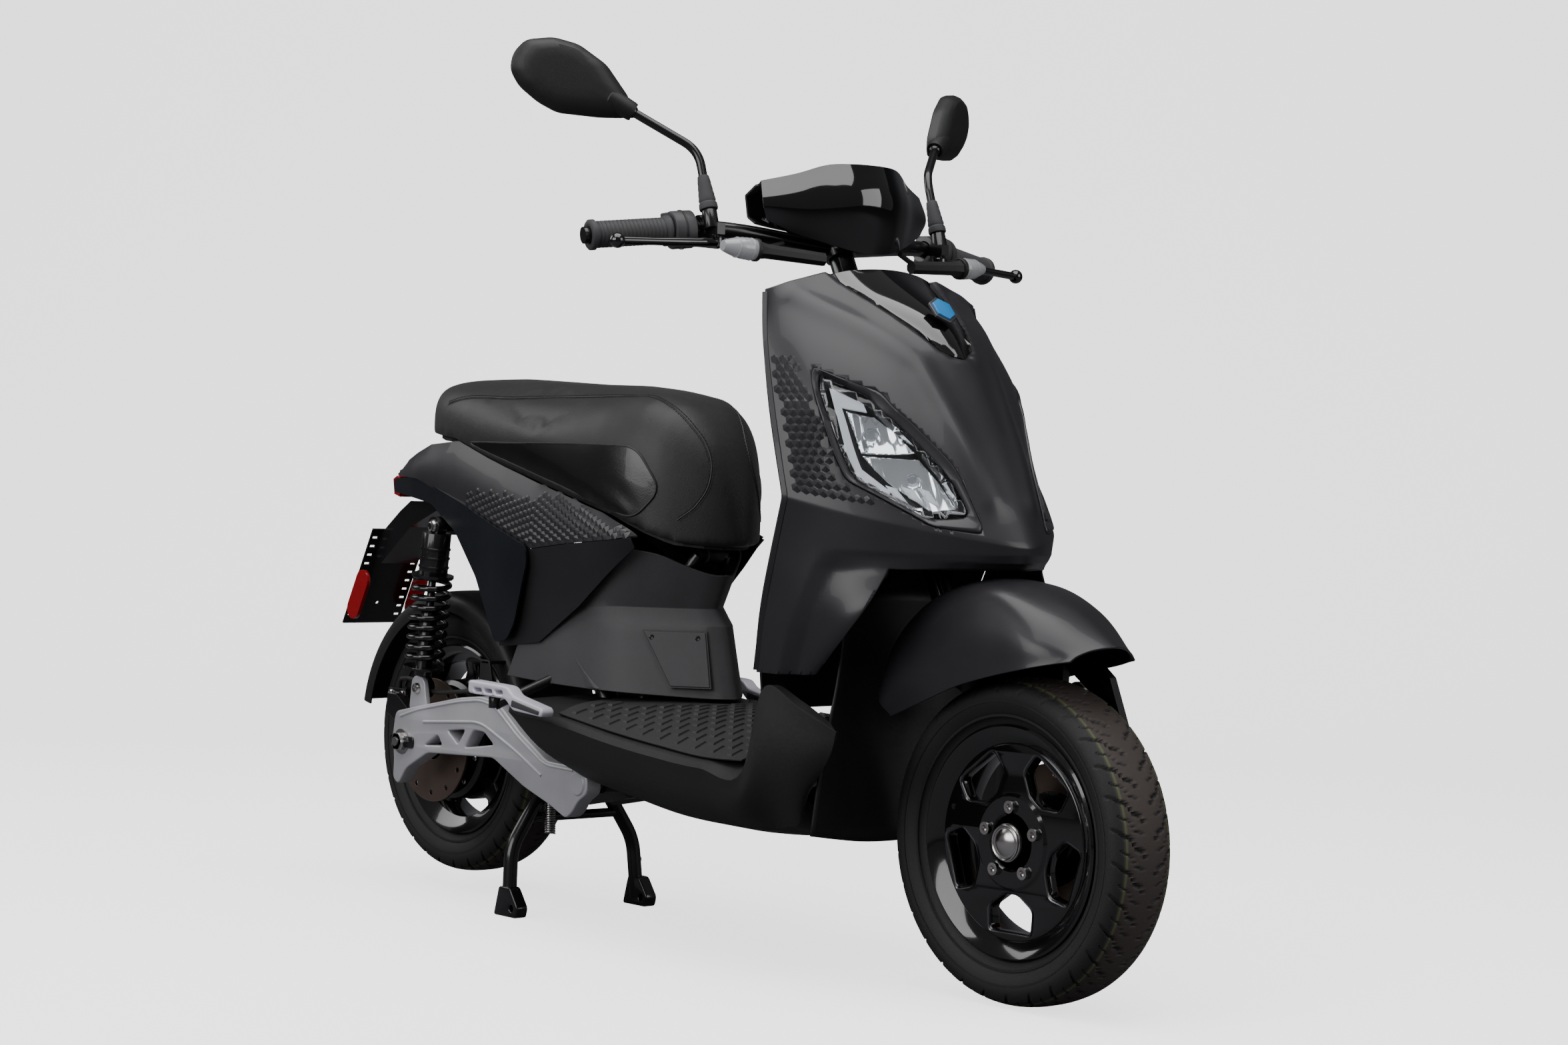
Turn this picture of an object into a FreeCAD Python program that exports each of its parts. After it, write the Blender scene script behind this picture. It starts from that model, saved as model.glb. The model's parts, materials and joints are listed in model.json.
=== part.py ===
import FreeCAD, Part
import math
import os

import Sketcher

from FreeCAD import Placement, Rotation, Vector

# Electric moped scooter. Millimetres, +X forward, +Y left, +Z up, ground at z = 0.
# Stations along x are measured from the rear axle and moved to the row frame at the end,
# so that the origin lies on the ground under the middle of the scooter.

doc = FreeCAD.newDocument("moped_scooter")

# ---------------------------------------------------------------- driving dimensions
SHEET_CELLS = {
    "wheelbase": 1212,
    "tyre_radius": 205,
    "tyre_half_width": 50,
    "rim_radius": 146,
    "rim_half_width": 38,
    "rear_lift": 31,
    "rake_degrees": 26,
    "trail_length": 80,
    "shell_wall": 4,
    "fit_clearance": 0.05,
    "frame_tube_radius": 15,
    "down_tube_radius": 19,
    "head_tube_radius": 26,
    "head_tube_length": 180,
    "stem_radius": 17,
    "bar_radius": 11,
    "grip_radius": 17,
    "grip_length": 112,
    "grip_flange_radius": 20,
    "axle_radius": 7,
    "pivot_pin_radius": 8,
    "stand_tube_radius": 11,
    "hinge_bar_radius": 8,
    "shock_tube_radius": 13,
    "shroud_radius": 22,
    "spring_coil_radius": 27,
    "spring_wire_radius": 4,
    "spring_pitch": 15,
    "disc_radius": 95,
    "disc_thickness": 4,
    "disc_hole_radius": 4,
    "disc_hole_count": 12,
    "hub_motor_radius": 92,
    "hub_motor_half_width": 52,
    "front_hub_radius": 62,
    "front_hub_length": 60,
    "wheel_bolt_circle_radius": 44,
    "wheel_bolt_radius": 8,
    "hub_cap_radius": 24,
    "hub_cap_length": 9,
    "mirror_stem_radius": 6,
    "mirror_boot_radius": 12,
    "mirror_ball_radius": 9,
    "mirror_thickness": 28,
    "lever_radius": 5.5,
    "lever_ball_radius": 10,
    "seat_half_width": 130,
    "arm_outer": 138,
    "arm_inner": 112,
    "plate_width": 106,
    "plate_height": 176,
}

sheet = doc.addObject("Spreadsheet::Sheet", "dims")
for row, (alias, value) in enumerate(SHEET_CELLS.items(), start=1):
    sheet.set("A%d" % row, alias)
    sheet.set("B%d" % row, str(value))
    sheet.setAlias("B%d" % row, alias)
doc.recompute()


def dim(alias):
    return float(getattr(sheet, alias))


WHEELBASE = dim("wheelbase")
TYRE_R = dim("tyre_radius")
CLEAR = dim("fit_clearance")
WALL = dim("shell_wall")
RAKE = math.radians(dim("rake_degrees"))
STEER_GROUND_X = WHEELBASE + dim("trail_length")
REAR_AXLE_Z = TYRE_R + dim("rear_lift")

PLATE_TOP = Vector(-230, 0, 556)
PLATE_TILT = math.radians(28.5)
PLATE_BOTTOM_X = PLATE_TOP.x - dim("plate_height") * math.sin(PLATE_TILT)
FRONT_X = WHEELBASE + TYRE_R
CENTRE_X = (FRONT_X + PLATE_BOTTOM_X) / 2

UP = Vector(0, 0, 1)
LEFT = Vector(0, 1, 0)
STEER_UP = Vector(-math.sin(RAKE), 0, math.cos(RAKE))
STEER_FORWARD = Vector(math.cos(RAKE), 0, math.sin(RAKE))

PIVOT = Vector(452, 0, 212)
STAND_PIVOT = Vector(256, 0, 176)
SEAT_HINGE = Vector(570, 0, 541)
SHOCK_TOP = Vector(51, 116, 566)
SHOCK_BOTTOM = Vector(18, 116, 318)
PEG_PIN = Vector(322, 192, 321)
PEG_PIN_RADIUS = 4
REAR_SHROUD = 68
REAR_STROKE = 48
FRONT_SHROUD = 44
FRONT_STROKE = 24
EYE_NEAR = -14
EYE_FAR = -6
FRONT_PIVOT = Vector(1314, 0, 205)
FRONT_SHOCK_TOP = Vector(1190, 108, 385)
FRONT_SHOCK_BOTTOM = Vector(1226, 108, 232)
BAR_BEND = Vector(783, 190, 976)
BAR_END = Vector(737, 362, 956)


def steer_point(along, ahead=0.0, left=0.0):
    """Point given along the steering axis from the ground, ahead of it and to its left."""
    base = Vector(STEER_GROUND_X, left, 0)
    return base + STEER_UP * along + STEER_FORWARD * ahead


def mirrored(point):
    return Vector(point.x, -point.y, point.z)


def on_side(point, side):
    return Vector(point.x, point.y * side, point.z)


# ---------------------------------------------------------------- building blocks
def turned_to(base, direction):
    return Placement(base, Rotation(UP, direction))


def bind(obj, prop, value):
    """A word is the alias of a cell or a formula of aliases, a number is a plain size."""
    if isinstance(value, str):
        obj.setExpression(prop, value)
    else:
        setattr(obj, prop, value)


def cylinder(name, radius, length, base, direction=UP):
    obj = doc.addObject("Part::Cylinder", name)
    bind(obj, "Radius", radius)
    bind(obj, "Height", length)
    obj.Placement = turned_to(base, direction)
    return obj


def rod(name, radius, start, end):
    return cylinder(name, radius, (end - start).Length, start, end - start)


def ball(name, radius, centre):
    obj = doc.addObject("Part::Sphere", name)
    bind(obj, "Radius", radius)
    obj.Placement = Placement(centre, Rotation())
    return obj


def cone(name, radius_low, radius_high, length, base, direction=UP):
    obj = doc.addObject("Part::Cone", name)
    bind(obj, "Radius1", radius_low)
    bind(obj, "Radius2", radius_high)
    bind(obj, "Height", length)
    obj.Placement = turned_to(base, direction)
    return obj


def box(name, size, centre, rotation=None):
    obj = doc.addObject("Part::Box", name)
    obj.Length, obj.Width, obj.Height = size
    turn = rotation or Rotation()
    corner = turn.multVec(Vector(-size[0] / 2, -size[1] / 2, -size[2] / 2))
    obj.Placement = Placement(centre + corner, turn)
    return obj


def fuse(name, parts):
    obj = doc.addObject("Part::MultiFuse", name)
    obj.Shapes = parts
    return obj


def weld(name, parts):
    """Joins the parts one after another, which stays sound where many tubes cross."""
    joined = parts[0]
    for index, part in enumerate(parts[1:], start=1):
        step = doc.addObject("Part::Fuse", "%s_join%d" % (name, index))
        step.Base = joined
        step.Tool = part
        joined = step
    return joined


def group(name, parts):
    obj = doc.addObject("Part::Compound", name)
    obj.Links = parts
    return obj


def cut(name, base, tool):
    obj = doc.addObject("Part::Cut", name)
    obj.Base = base
    obj.Tool = tool
    return obj


def common(name, first, second):
    obj = doc.addObject("Part::Common", name)
    obj.Base = first
    obj.Tool = second
    return obj


def bent_tube(name, radius, points):
    """Round tube along straight runs, with a slightly fuller ball at each bend."""
    fuller = "1.05*(%s)" % radius if isinstance(radius, str) else 1.05 * radius
    parts = []
    for index in range(len(points) - 1):
        parts.append(rod("%s_run%d" % (name, index), radius, points[index], points[index + 1]))
        if index:
            parts.append(ball("%s_bend%d" % (name, index), fuller, points[index]))
    return fuse(name, parts) if len(parts) > 1 else parts[0]


def swept_tube(name, radius, points, bend):
    """Round tube swept along straight runs joined by arcs."""
    edges = []
    start = points[0]
    for before, corner, after in zip(points, points[1:], points[2:]):
        to_before = (before - corner).normalize()
        to_after = (after - corner).normalize()
        half_turn = (math.pi - to_before.getAngle(to_after)) / 2
        shorter_run = min((before - corner).Length, (after - corner).Length)
        reach = min(bend * math.tan(half_turn), 0.45 * shorter_run)
        size = reach / math.tan(half_turn)
        bisector = (to_before + to_after).normalize()
        centre = corner + bisector * (size / math.cos(half_turn))
        enter, leave = corner + to_before * reach, corner + to_after * reach
        edges.append(Part.makeLine(start, enter))
        edges.append(Part.Arc(enter, centre - bisector * size, leave).toShape())
        start = leave
    edges.append(Part.makeLine(start, points[-1]))
    path = doc.addObject("Part::Feature", name + "_path")
    path.Shape = Part.Wire(edges)
    ring = doc.addObject("Part::Circle", name + "_ring")
    bind(ring, "Radius", radius)
    ring.Placement = turned_to(points[0], points[1] - points[0])
    sweep = doc.addObject("Part::Sweep", name)
    sweep.Sections = [ring]
    sweep.Spine = (path, [])
    sweep.Solid = True
    sweep.Frenet = False
    return sweep


def prism(name, corners, direction, length, both_ways=False):
    """Solid whose flat outline is pushed along direction."""
    outline = doc.addObject("Part::Polygon", name + "_outline")
    outline.Nodes = corners
    outline.Close = True
    obj = doc.addObject("Part::Extrusion", name)
    obj.Base = outline
    obj.DirMode = "Custom"
    obj.Dir = direction
    bind(obj, "LengthFwd", length)
    obj.Solid = True
    obj.Symmetric = both_ways
    return obj


def side_prism(name, outline_xz, y_low, y_high):
    """Side-view outline as x, z pairs, extended from y_low to y_high."""
    corners = [Vector(x, y_low, z) for x, z in outline_xz]
    return prism(name, corners, LEFT, y_high - y_low)


def feature(name, shape):
    obj = doc.addObject("Part::Feature", name)
    obj.Shape = shape
    return obj


def grid_normals(grid):
    rows = len(grid)
    columns = len(grid[0])
    normals = []
    for i in range(rows):
        line = []
        for j in range(columns):
            down = grid[min(i + 1, rows - 1)][j] - grid[max(i - 1, 0)][j]
            across = grid[i][min(j + 1, columns - 1)] - grid[i][max(j - 1, 0)]
            normal = down.cross(across)
            line.append(normal / normal.Length)
        normals.append(line)
    return normals


def offset_grid(grid, distance):
    normals = grid_normals(grid)
    rows = range(len(grid))
    columns = range(len(grid[0]))
    return [[grid[i][j] + normals[i][j] * distance for j in columns] for i in rows]


def triangle(a, b, c):
    return Part.Face(Part.makePolygon([a, b, c, a]))


def patch(a, b, c, d):
    return [triangle(a, b, c), triangle(a, c, d)]


def sheet_solid(grid, thickness):
    """Closed wall of even thickness behind a net of surface points."""
    back = offset_grid(grid, thickness)
    rows = len(grid)
    columns = len(grid[0])
    faces = []
    for i in range(rows - 1):
        for j in range(columns - 1):
            faces += patch(grid[i][j], grid[i][j + 1], grid[i + 1][j + 1], grid[i + 1][j])
            faces += patch(back[i][j], back[i][j + 1], back[i + 1][j + 1], back[i + 1][j])
    for i in range(rows - 1):
        for j in (0, columns - 1):
            faces += patch(grid[i][j], grid[i + 1][j], back[i + 1][j], back[i][j])
    for j in range(columns - 1):
        for i in (0, rows - 1):
            faces += patch(grid[i][j], grid[i][j + 1], back[i][j + 1], back[i][j])
    return sewn_solid(faces)


def sewn_solid(faces):
    shell = Part.makeShell(faces)
    shell.sewShape()
    solid = Part.makeSolid(shell)
    if solid.Volume < 0:
        solid.reverse()
    return solid


def symmetric_grid(half_rows):
    """Each half row runs from the left edge (y > 0) to the middle (y = 0)."""
    grid = []
    for half in half_rows:
        left = [Vector(*point) for point in half]
        right = [mirrored(point) for point in reversed(left[:-1])]
        grid.append(left + right)
    return grid


# ---------------------------------------------------------------- bodywork shells
SHIELD_ROWS = [
    [(895, 185, 893), (905, 140, 908), (913, 90, 922), (920, 45, 929), (925, 0, 931)],
    [(902, 190, 850), (940, 160, 852), (975, 122, 855), (1008, 62, 859), (1030, 0, 860)],
    [(936, 203, 742), (995, 180, 742), (1045, 140, 742), (1090, 70, 742), (1112, 0, 742)],
    [(962, 210, 672), (1015, 182, 672), (1068, 140, 672), (1128, 70, 672), (1152, 0, 672)],
    [(977, 212, 626), (1040, 178, 610), (1105, 133, 595), (1165, 75, 580), (1200, 0, 570)],
    [(957, 207, 575), (1025, 180, 560), (1095, 135, 553), (1160, 75, 549), (1196, 0, 547)],
    [(920, 196, 480), (1000, 186, 478), (1075, 170, 476), (1100, 75, 476), (1110, 0, 476)],
    [(889, 180, 399), (935, 173, 398), (990, 160, 397), (1040, 75, 397), (1050, 0, 397)],
]
WHEEL_ARCH = [(984, 380), (1067, 475), (1140, 519), (1170, 538), (1320, 538), (1320, 380)]


def shield_surface_point(row, column):
    """Point of the front shield at fractional row and column of its net."""
    i = min(int(row), len(SHIELD_ROWS) - 2)
    j = min(int(column), len(SHIELD_ROWS[0]) - 2)
    s = row - i
    r = column - j
    top = Vector(*SHIELD_ROWS[i][j]) * (1 - r) + Vector(*SHIELD_ROWS[i][j + 1]) * r
    low = Vector(*SHIELD_ROWS[i + 1][j]) * (1 - r) + Vector(*SHIELD_ROWS[i + 1][j + 1]) * r
    return top * (1 - s) + low * s


LAMP_CENTRE = Vector(1070, 135, 690)
LAMP_NORMAL = Vector(0.684, 0.694, 0.225)
LAMP_OUTLINE = [(-87, 99), (1, 45), (36, 11), (86, -42), (111, -84), (59, -89), (-34, -35)]


def lamp_corners(side, margin, depth):
    """Lamp outline grown by margin and set out along the lamp's normal by depth."""
    normal = on_side(LAMP_NORMAL, side).normalize()
    up = (UP - normal * normal.z).normalize()
    across = Vector(up.y * normal.z - up.z * normal.y, up.z * normal.x - up.x * normal.z,
                    up.x * normal.y - up.y * normal.x) * -side
    centre = on_side(LAMP_CENTRE, side) + normal * depth
    corners = []
    for u, v in LAMP_OUTLINE:
        grow = 1 + margin / math.hypot(u, v)
        corners.append(centre + across * (u * grow) + up * (v * grow))
    return corners, normal


def lamp_prism(name, side, margin, depth_from, depth_to):
    corners, normal = lamp_corners(side, margin, depth_from)
    return prism(name, corners, normal, depth_to - depth_from)


def make_front_shield():
    shell = feature("shield_shell", sheet_solid(symmetric_grid(SHIELD_ROWS), WALL))
    arch = side_prism("wheel_arch", WHEEL_ARCH, -240, 240)
    middle = side_prism("wheel_bay", [(900, 380), (900, 538), (1320, 538), (1320, 380)], -142, 142)
    openings = [arch, middle]
    openings += [lamp_prism("lamp_opening%+d" % side, side, 2.5, -60, 60) for side in (-1, 1)]
    return cut("front_shield", shell, fuse("shield_openings", openings))


def make_inner_shield():
    rows = [
        [(884, 174, 876), (862, 140, 880), (842, 90, 884), (826, 45, 886), (822, 0, 887)],
        [(922, 192, 742), (893, 150, 742), (868, 100, 742), (860, 50, 742), (857, 0, 742)],
        [(962, 200, 628), (922, 155, 628), (892, 105, 628), (884, 50, 628), (881, 0, 628)],
        [(905, 184, 480), (878, 145, 480), (856, 100, 480), (846, 50, 480), (843, 0, 480)],
        [(878, 166, 402), (856, 132, 400), (838, 95, 400), (830, 50, 400), (827, 0, 400)],
        [(850, 136, 345), (838, 120, 345), (826, 90, 345), (820, 50, 345), (818, 0, 345)],
    ]
    return feature("inner_shield", sheet_solid(symmetric_grid(rows), -WALL))


def make_centre_panel():
    rows = []
    spans = ((0.12, 1.30), (0.55, 1.10), (1.0, 0.80), (1.3, 0.45), (1.46, 0.12))
    for row, half in spans:
        line = []
        for step in (1.0, 0.5, 0.0):
            point = shield_surface_point(row, 4 - half * step)
            line.append((point.x, point.y, point.z))
        rows.append(line)
    net = symmetric_grid(rows)
    lifted = offset_grid(net, -6.5)
    return feature("centre_panel", sheet_solid(lifted, 3))


def make_badge():
    centre = Vector(1024, 0, 866)
    normal = Vector(0.74, 0, 0.67)
    up = Vector(-0.67, 0, 0.74)
    corners = []
    for corner in range(6):
        angle = math.radians(60 * corner)
        corners.append(centre + normal * 9 + LEFT * (16 * math.sin(angle)) + up * (18 * math.cos(angle)))
    return prism("badge", corners, normal, 3)


def make_lamp_housings():
    return group("lamp_housings", [lamp_prism("lamp_housing%+d" % s, s, -3, -42, -7) for s in (-1, 1)])


def make_lamp_lenses():
    return group("lamp_lenses", [lamp_prism("lamp_lens%+d" % s, s, -1, -5, 2) for s in (-1, 1)])


def make_arch_liner():
    rows = [
        [(990, 166, 196), (972, 100, 186), (962, 50, 180), (958, 0, 178)],
        [(1002, 160, 300), (975, 100, 300), (958, 50, 300), (954, 0, 300)],
        [(1004, 138, 400), (975, 100, 400), (956, 50, 400), (951, 0, 400)],
        [(1010, 134, 500), (990, 100, 505), (966, 50, 508), (960, 0, 510)],
    ]
    return feature("arch_liner", sheet_solid(symmetric_grid(rows), WALL))


FLOOR_ROWS = [
    [(498, 104, 212), (492, 156, 226), (425, 190, 266), (366, 199, 310), (356, 190, 318), (364, 164, 327),
     (400, 90, 334), (400, 0, 336)],
    [(525, 104, 208), (522, 154, 220), (500, 189, 258), (480, 200, 300), (470, 190, 310), (465, 150, 322),
     (480, 90, 330), (480, 0, 333)],
    [(600, 100, 197), (600, 150, 208), (600, 188, 244), (600, 200, 284), (600, 190, 293), (600, 148, 308),
     (600, 90, 324), (600, 0, 330)],
    [(700, 92, 184), (700, 146, 194), (700, 186, 230), (700, 200, 274), (700, 190, 283), (700, 148, 301),
     (700, 90, 319), (700, 0, 328)],
    [(800, 90, 179), (800, 145, 190), (800, 186, 224), (800, 200, 268), (800, 190, 276), (800, 148, 294),
     (800, 90, 313), (800, 0, 325)],
    [(870, 84, 181), (870, 142, 191), (878, 192, 228), (885, 198, 270), (878, 186, 278), (870, 148, 290),
     (870, 90, 308), (870, 0, 320)],
    [(905, 80, 184), (908, 142, 198), (925, 198, 290), (915, 188, 382), (905, 170, 380), (900, 148, 288),
     (895, 90, 306), (895, 0, 318)],
    [(930, 80, 190), (945, 146, 210), (1000, 200, 292), (1000, 199, 360), (985, 182, 368), (940, 150, 286),
     (930, 90, 304), (925, 0, 316)],
    [(940, 80, 205), (960, 152, 240), (1055, 196, 306), (1073, 203, 337), (1045, 188, 346), (950, 152, 284),
     (938, 90, 302), (932, 0, 314)],
]


def floor_openings(name):
    """Room for the rails and battery under the seat, and for the down tube behind the inner shield."""
    bay = box(name + "_bay_opening", (170, 186, 120), Vector(457, 0, 330))
    notch = box(name + "_tube_notch", (110, 52, 90), Vector(891, 0, 310))
    return fuse(name + "_openings", [bay, notch])


def make_floorboard():
    half = [[Vector(*point) for point in row] for row in FLOOR_ROWS]
    grid = [row + [mirrored(point) for point in reversed(row[:-1])] for row in half]
    shell = feature("floor_shell", sheet_solid(grid, WALL))
    return cut("floorboard", shell, floor_openings("floor"))


def make_floor_mat():
    """Rubber mat lying just above the tread, with a raised rim."""
    rows = []
    for row in FLOOR_ROWS[1:6]:
        rim, inner = Vector(*row[4]), Vector(*row[5])
        line = [rim + (inner - rim) * 0.2] + [Vector(*point) for point in row[5:]]
        rows.append([(min(p.x, 866), p.y, p.z + 2.5) for p in line])
    mat = feature("mat", sheet_solid(symmetric_grid(rows), -4))
    return cut("floor_mat", mat, floor_openings("mat"))


def make_under_seat_cover():
    rows = [
        [(290, 121, 546), (400, 119, 546), (480, 110, 546), (530, 92, 546), (565, 62, 546), (588, 28, 546),
         (594, 0, 546)],
        [(284, 117, 450), (400, 115, 450), (470, 106, 450), (515, 86, 450), (545, 58, 450), (566, 26, 450),
         (572, 0, 450)],
        [(276, 122, 400), (390, 121, 400), (480, 112, 400), (530, 90, 400), (562, 62, 400), (582, 28, 400),
         (588, 0, 400)],
        [(262, 131, 350), (360, 130, 347), (470, 121, 343), (530, 99, 341), (573, 67, 340), (602, 30, 340),
         (608, 0, 340)],
    ]
    shell = feature("under_seat_shell", sheet_solid(symmetric_grid(rows), WALL))
    reliefs = [box("hinge_relief", (68, 144, 52), Vector(SEAT_HINGE.x, 0, 550))]
    for side in (-1, 1):
        reliefs.append(rod("peg_arm_hole%+d" % side, 9, Vector(404, 79 * side, 385),
                           on_side(PEG_PIN, side) - UP * 6))
    return cut("under_seat_cover", shell, fuse("cover_reliefs", reliefs))


def make_access_hatch():
    """Trapezoid service cover just outside the under-seat cover, with its two screws."""
    corners = [Vector(492, -122, 432), Vector(562, -73, 432), Vector(582, -74, 356), Vector(530, -110, 356)]
    return feature("access_hatch", plate_between(corners, Vector(0.57, -0.82, 0), 3))


def plate_between(corners, direction, thickness):
    """Thin closed plate on four corners that need not lie in one plane."""
    far = [corner + direction * thickness for corner in corners]
    faces = patch(*corners) + patch(*far)
    for index in range(4):
        after = (index + 1) % 4
        faces += patch(corners[index], corners[after], far[after], far[index])
    return sewn_solid(faces)


def plan_wall(name, plan, thickness, z_low, z_high, side):
    """Upright wall that follows a plan line of x, y pairs."""
    outer = [Vector(x, y * side, z_low) for x, y in plan]
    inner = [Vector(x, (y - thickness) * side, z_low) for x, y in reversed(plan)]
    return prism(name, outer + inner, UP, z_high - z_low)


SIDE_PLAN = [(-150, 62), (-60, 86), (60, 108), (180, 124), (290, 132), (420, 130), (500, 120), (570, 98)]
SIDE_OUTLINE = [(-146, 640), (0, 686), (60, 698), (154, 678), (274, 645), (392, 614), (470, 592), (540, 566),
                (530, 552), (430, 465), (337, 406), (262, 396), (228, 394), (165, 480), (105, 568),
                (42, 594), (-24, 606), (-146, 612)]
OUTER_OUTLINE = [(-146, 638), (-32, 640), (138, 600), (270, 560), (322, 545), (326, 520), (292, 430),
                 (272, 408), (233, 402), (222, 420), (174, 495), (104, 560), (12, 600), (-79, 612),
                 (-146, 618)]


def make_side_panel(side):
    wall = plan_wall("side_wall%+d" % side, SIDE_PLAN, WALL, 380, 700, side)
    outline = side_prism("side_outline%+d" % side, SIDE_OUTLINE, -220, 220)
    return common("side_panel%+d" % side, wall, outline)


def make_outer_panel(side):
    plan = [(x, y + 4 + 10 * max(0.0, min(1.0, (x + 60) / 300))) for x, y in SIDE_PLAN]
    wall = plan_wall("outer_wall%+d" % side, plan, 3, 380, 700, side)
    outline = side_prism("outer_outline%+d" % side, OUTER_OUTLINE, -220, 220)
    return common("outer_panel%+d" % side, wall, outline)


def make_tail_cover():
    rows = [
        [(-152, 54, 646), (-156, 28, 650), (-158, 0, 651)],
        [(-60, 78, 664), (-60, 40, 670), (-60, 0, 672)],
        [(40, 96, 679), (40, 50, 686), (40, 0, 688)],
    ]
    return feature("tail_cover", sheet_solid(symmetric_grid(rows), -WALL))


def make_tail_light():
    outline = [(-153, 608), (-168, 612), (-172, 636), (-160, 642), (-153, 640)]
    return side_prism("tail_light", outline, -54, 54)


# ---------------------------------------------------------------- frame and running gear
def make_main_frame():
    tube = "dims.frame_tube_radius"
    head_low = steer_point(690)
    parts = [cylinder("head_outer", "dims.head_tube_radius", "dims.head_tube_length", head_low, STEER_UP)]
    down = [steer_point(735, -12), Vector(925, 0, 560), Vector(895, 0, 430), Vector(872, 0, 340),
            Vector(835, 0, 275), Vector(790, 0, 250)]
    parts.append(swept_tube("down_tube", "dims.down_tube_radius", down, 60))
    parts.append(rod("front_cross", tube, Vector(790, -70, 250), Vector(790, 70, 250)))
    for side in (-1, 1):
        tag = "%+d" % side
        rail = [Vector(790, 70, 250), Vector(520, 70, 246), Vector(470, 70, 252), Vector(400, 78, 400),
                Vector(350, 84, 520), Vector(150, 84, 606), Vector(-70, 56, 632)]
        parts.append(swept_tube("rail" + tag, tube, [on_side(point, side) for point in rail], 60))
        hoop = [Vector(500, 70, 248), Vector(496, 48, 440), Vector(SEAT_HINGE.x, 24, SEAT_HINGE.z)]
        parts.append(swept_tube("hoop" + tag, "dims.hinge_bar_radius", [on_side(p, side) for p in hoop], 30))
        plate = [(470, 262), (400, 262), (300, 196), (244, 188), (244, 164), (300, 158), (470, 190)]
        low, high = sorted((44 * side, 52 * side))
        parts.append(side_prism("stand_plate" + tag, plate, low, high))
        parts.append(box("pivot_gusset" + tag, (34, 10, 44), Vector(462, 66 * side, 232)))
        gusset = [(20, 553), (80, 553), (110, 628), (10, 634)]
        low, high = sorted((76 * side, 84 * side))
        parts.append(side_prism("shock_gusset" + tag, gusset, low, high))
        top = on_side(SHOCK_TOP, side)
        parts.append(rod("shock_pin" + tag, "dims.pivot_pin_radius", Vector(top.x, 80 * side, top.z),
                         Vector(top.x, 130 * side, top.z)))
        pin = on_side(PEG_PIN, side)
        parts.append(rod("peg_arm" + tag, 7, Vector(404, 79 * side, 385), pin - UP * 6))
        parts.append(cylinder("peg_seat" + tag, 9, 16, pin - UP * 9, UP))
        parts.append(cylinder("peg_pin" + tag, PEG_PIN_RADIUS, 34, pin - UP * 6, UP))
    parts.append(rod("hinge_bar", "dims.hinge_bar_radius", Vector(SEAT_HINGE.x, -24, SEAT_HINGE.z),
                     Vector(SEAT_HINGE.x, 24, SEAT_HINGE.z)))
    parts.append(rod("pivot_tube", "dims.frame_tube_radius", Vector(PIVOT.x, -96, PIVOT.z),
                     Vector(PIVOT.x, 96, PIVOT.z)))
    parts.append(rod("pivot_pin", "dims.pivot_pin_radius", Vector(PIVOT.x, -140, PIVOT.z),
                     Vector(PIVOT.x, 140, PIVOT.z)))
    parts.append(rod("tail_cross", tube, Vector(-40, -62, 628), Vector(-40, 62, 628)))
    bore = cylinder("head_bore", "dims.stem_radius + dims.fit_clearance", 240, steer_point(660), STEER_UP)
    stand_bore = rod("stand_bore", "dims.stand_tube_radius + dims.fit_clearance",
                     Vector(STAND_PIVOT.x, -60, STAND_PIVOT.z), Vector(STAND_PIVOT.x, 60, STAND_PIVOT.z))
    return cut("main_frame", weld("frame_tubes", parts), fuse("frame_bores", [bore, stand_bore]))


ARM_BODY = [(-30, 240), (-20, 284), (40, 298), (150, 318), (205, 320), (232, 308), (340, 240), (452, 234),
            (474, 224), (474, 200), (452, 188), (440, 176), (424, 158), (320, 190), (222, 230), (60, 224),
            (12, 196), (-10, 168), (-24, 178), (-20, 210)]
ARM_WINDOWS = [
    [(28, 240), (76, 240), (52, 262)],
    [(62, 268), (112, 270), (90, 242)],
    [(104, 242), (170, 242), (150, 262), (126, 266)],
]


def make_swingarm():
    parts = []
    for side in (-1, 1):
        low, high = sorted((dim("arm_inner") * side, dim("arm_outer") * side))
        parts.append(side_prism("arm_blade%+d" % side, ARM_BODY, low, high))
        lug = [(-2, 290), (42, 294), (34, 332), (4, 332)]
        parts.append(side_prism("shock_lug%+d" % side, lug, *sorted((116 * side, 124 * side))))
        parts.append(rod("shock_stud%+d" % side, "dims.pivot_pin_radius",
                         Vector(SHOCK_BOTTOM.x, 120 * side, SHOCK_BOTTOM.z),
                         Vector(SHOCK_BOTTOM.x, 100 * side, SHOCK_BOTTOM.z)))
    parts.append(side_prism("front_bridge", [(292, 226), (330, 232), (330, 250), (292, 262)], -113, 113))
    tools = [side_prism("arm_window%d" % k, w, -150, 150) for k, w in enumerate(ARM_WINDOWS)]
    tools.append(rod("arm_pivot_bore", "dims.pivot_pin_radius + dims.fit_clearance",
                     Vector(PIVOT.x, -150, PIVOT.z), Vector(PIVOT.x, 150, PIVOT.z)))
    tools.append(rod("arm_axle_bore", "dims.axle_radius + dims.fit_clearance",
                     Vector(0, -150, REAR_AXLE_Z), Vector(0, 150, REAR_AXLE_Z)))
    return cut("swingarm", fuse("arm_casting", parts), fuse("arm_openings", tools))


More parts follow.
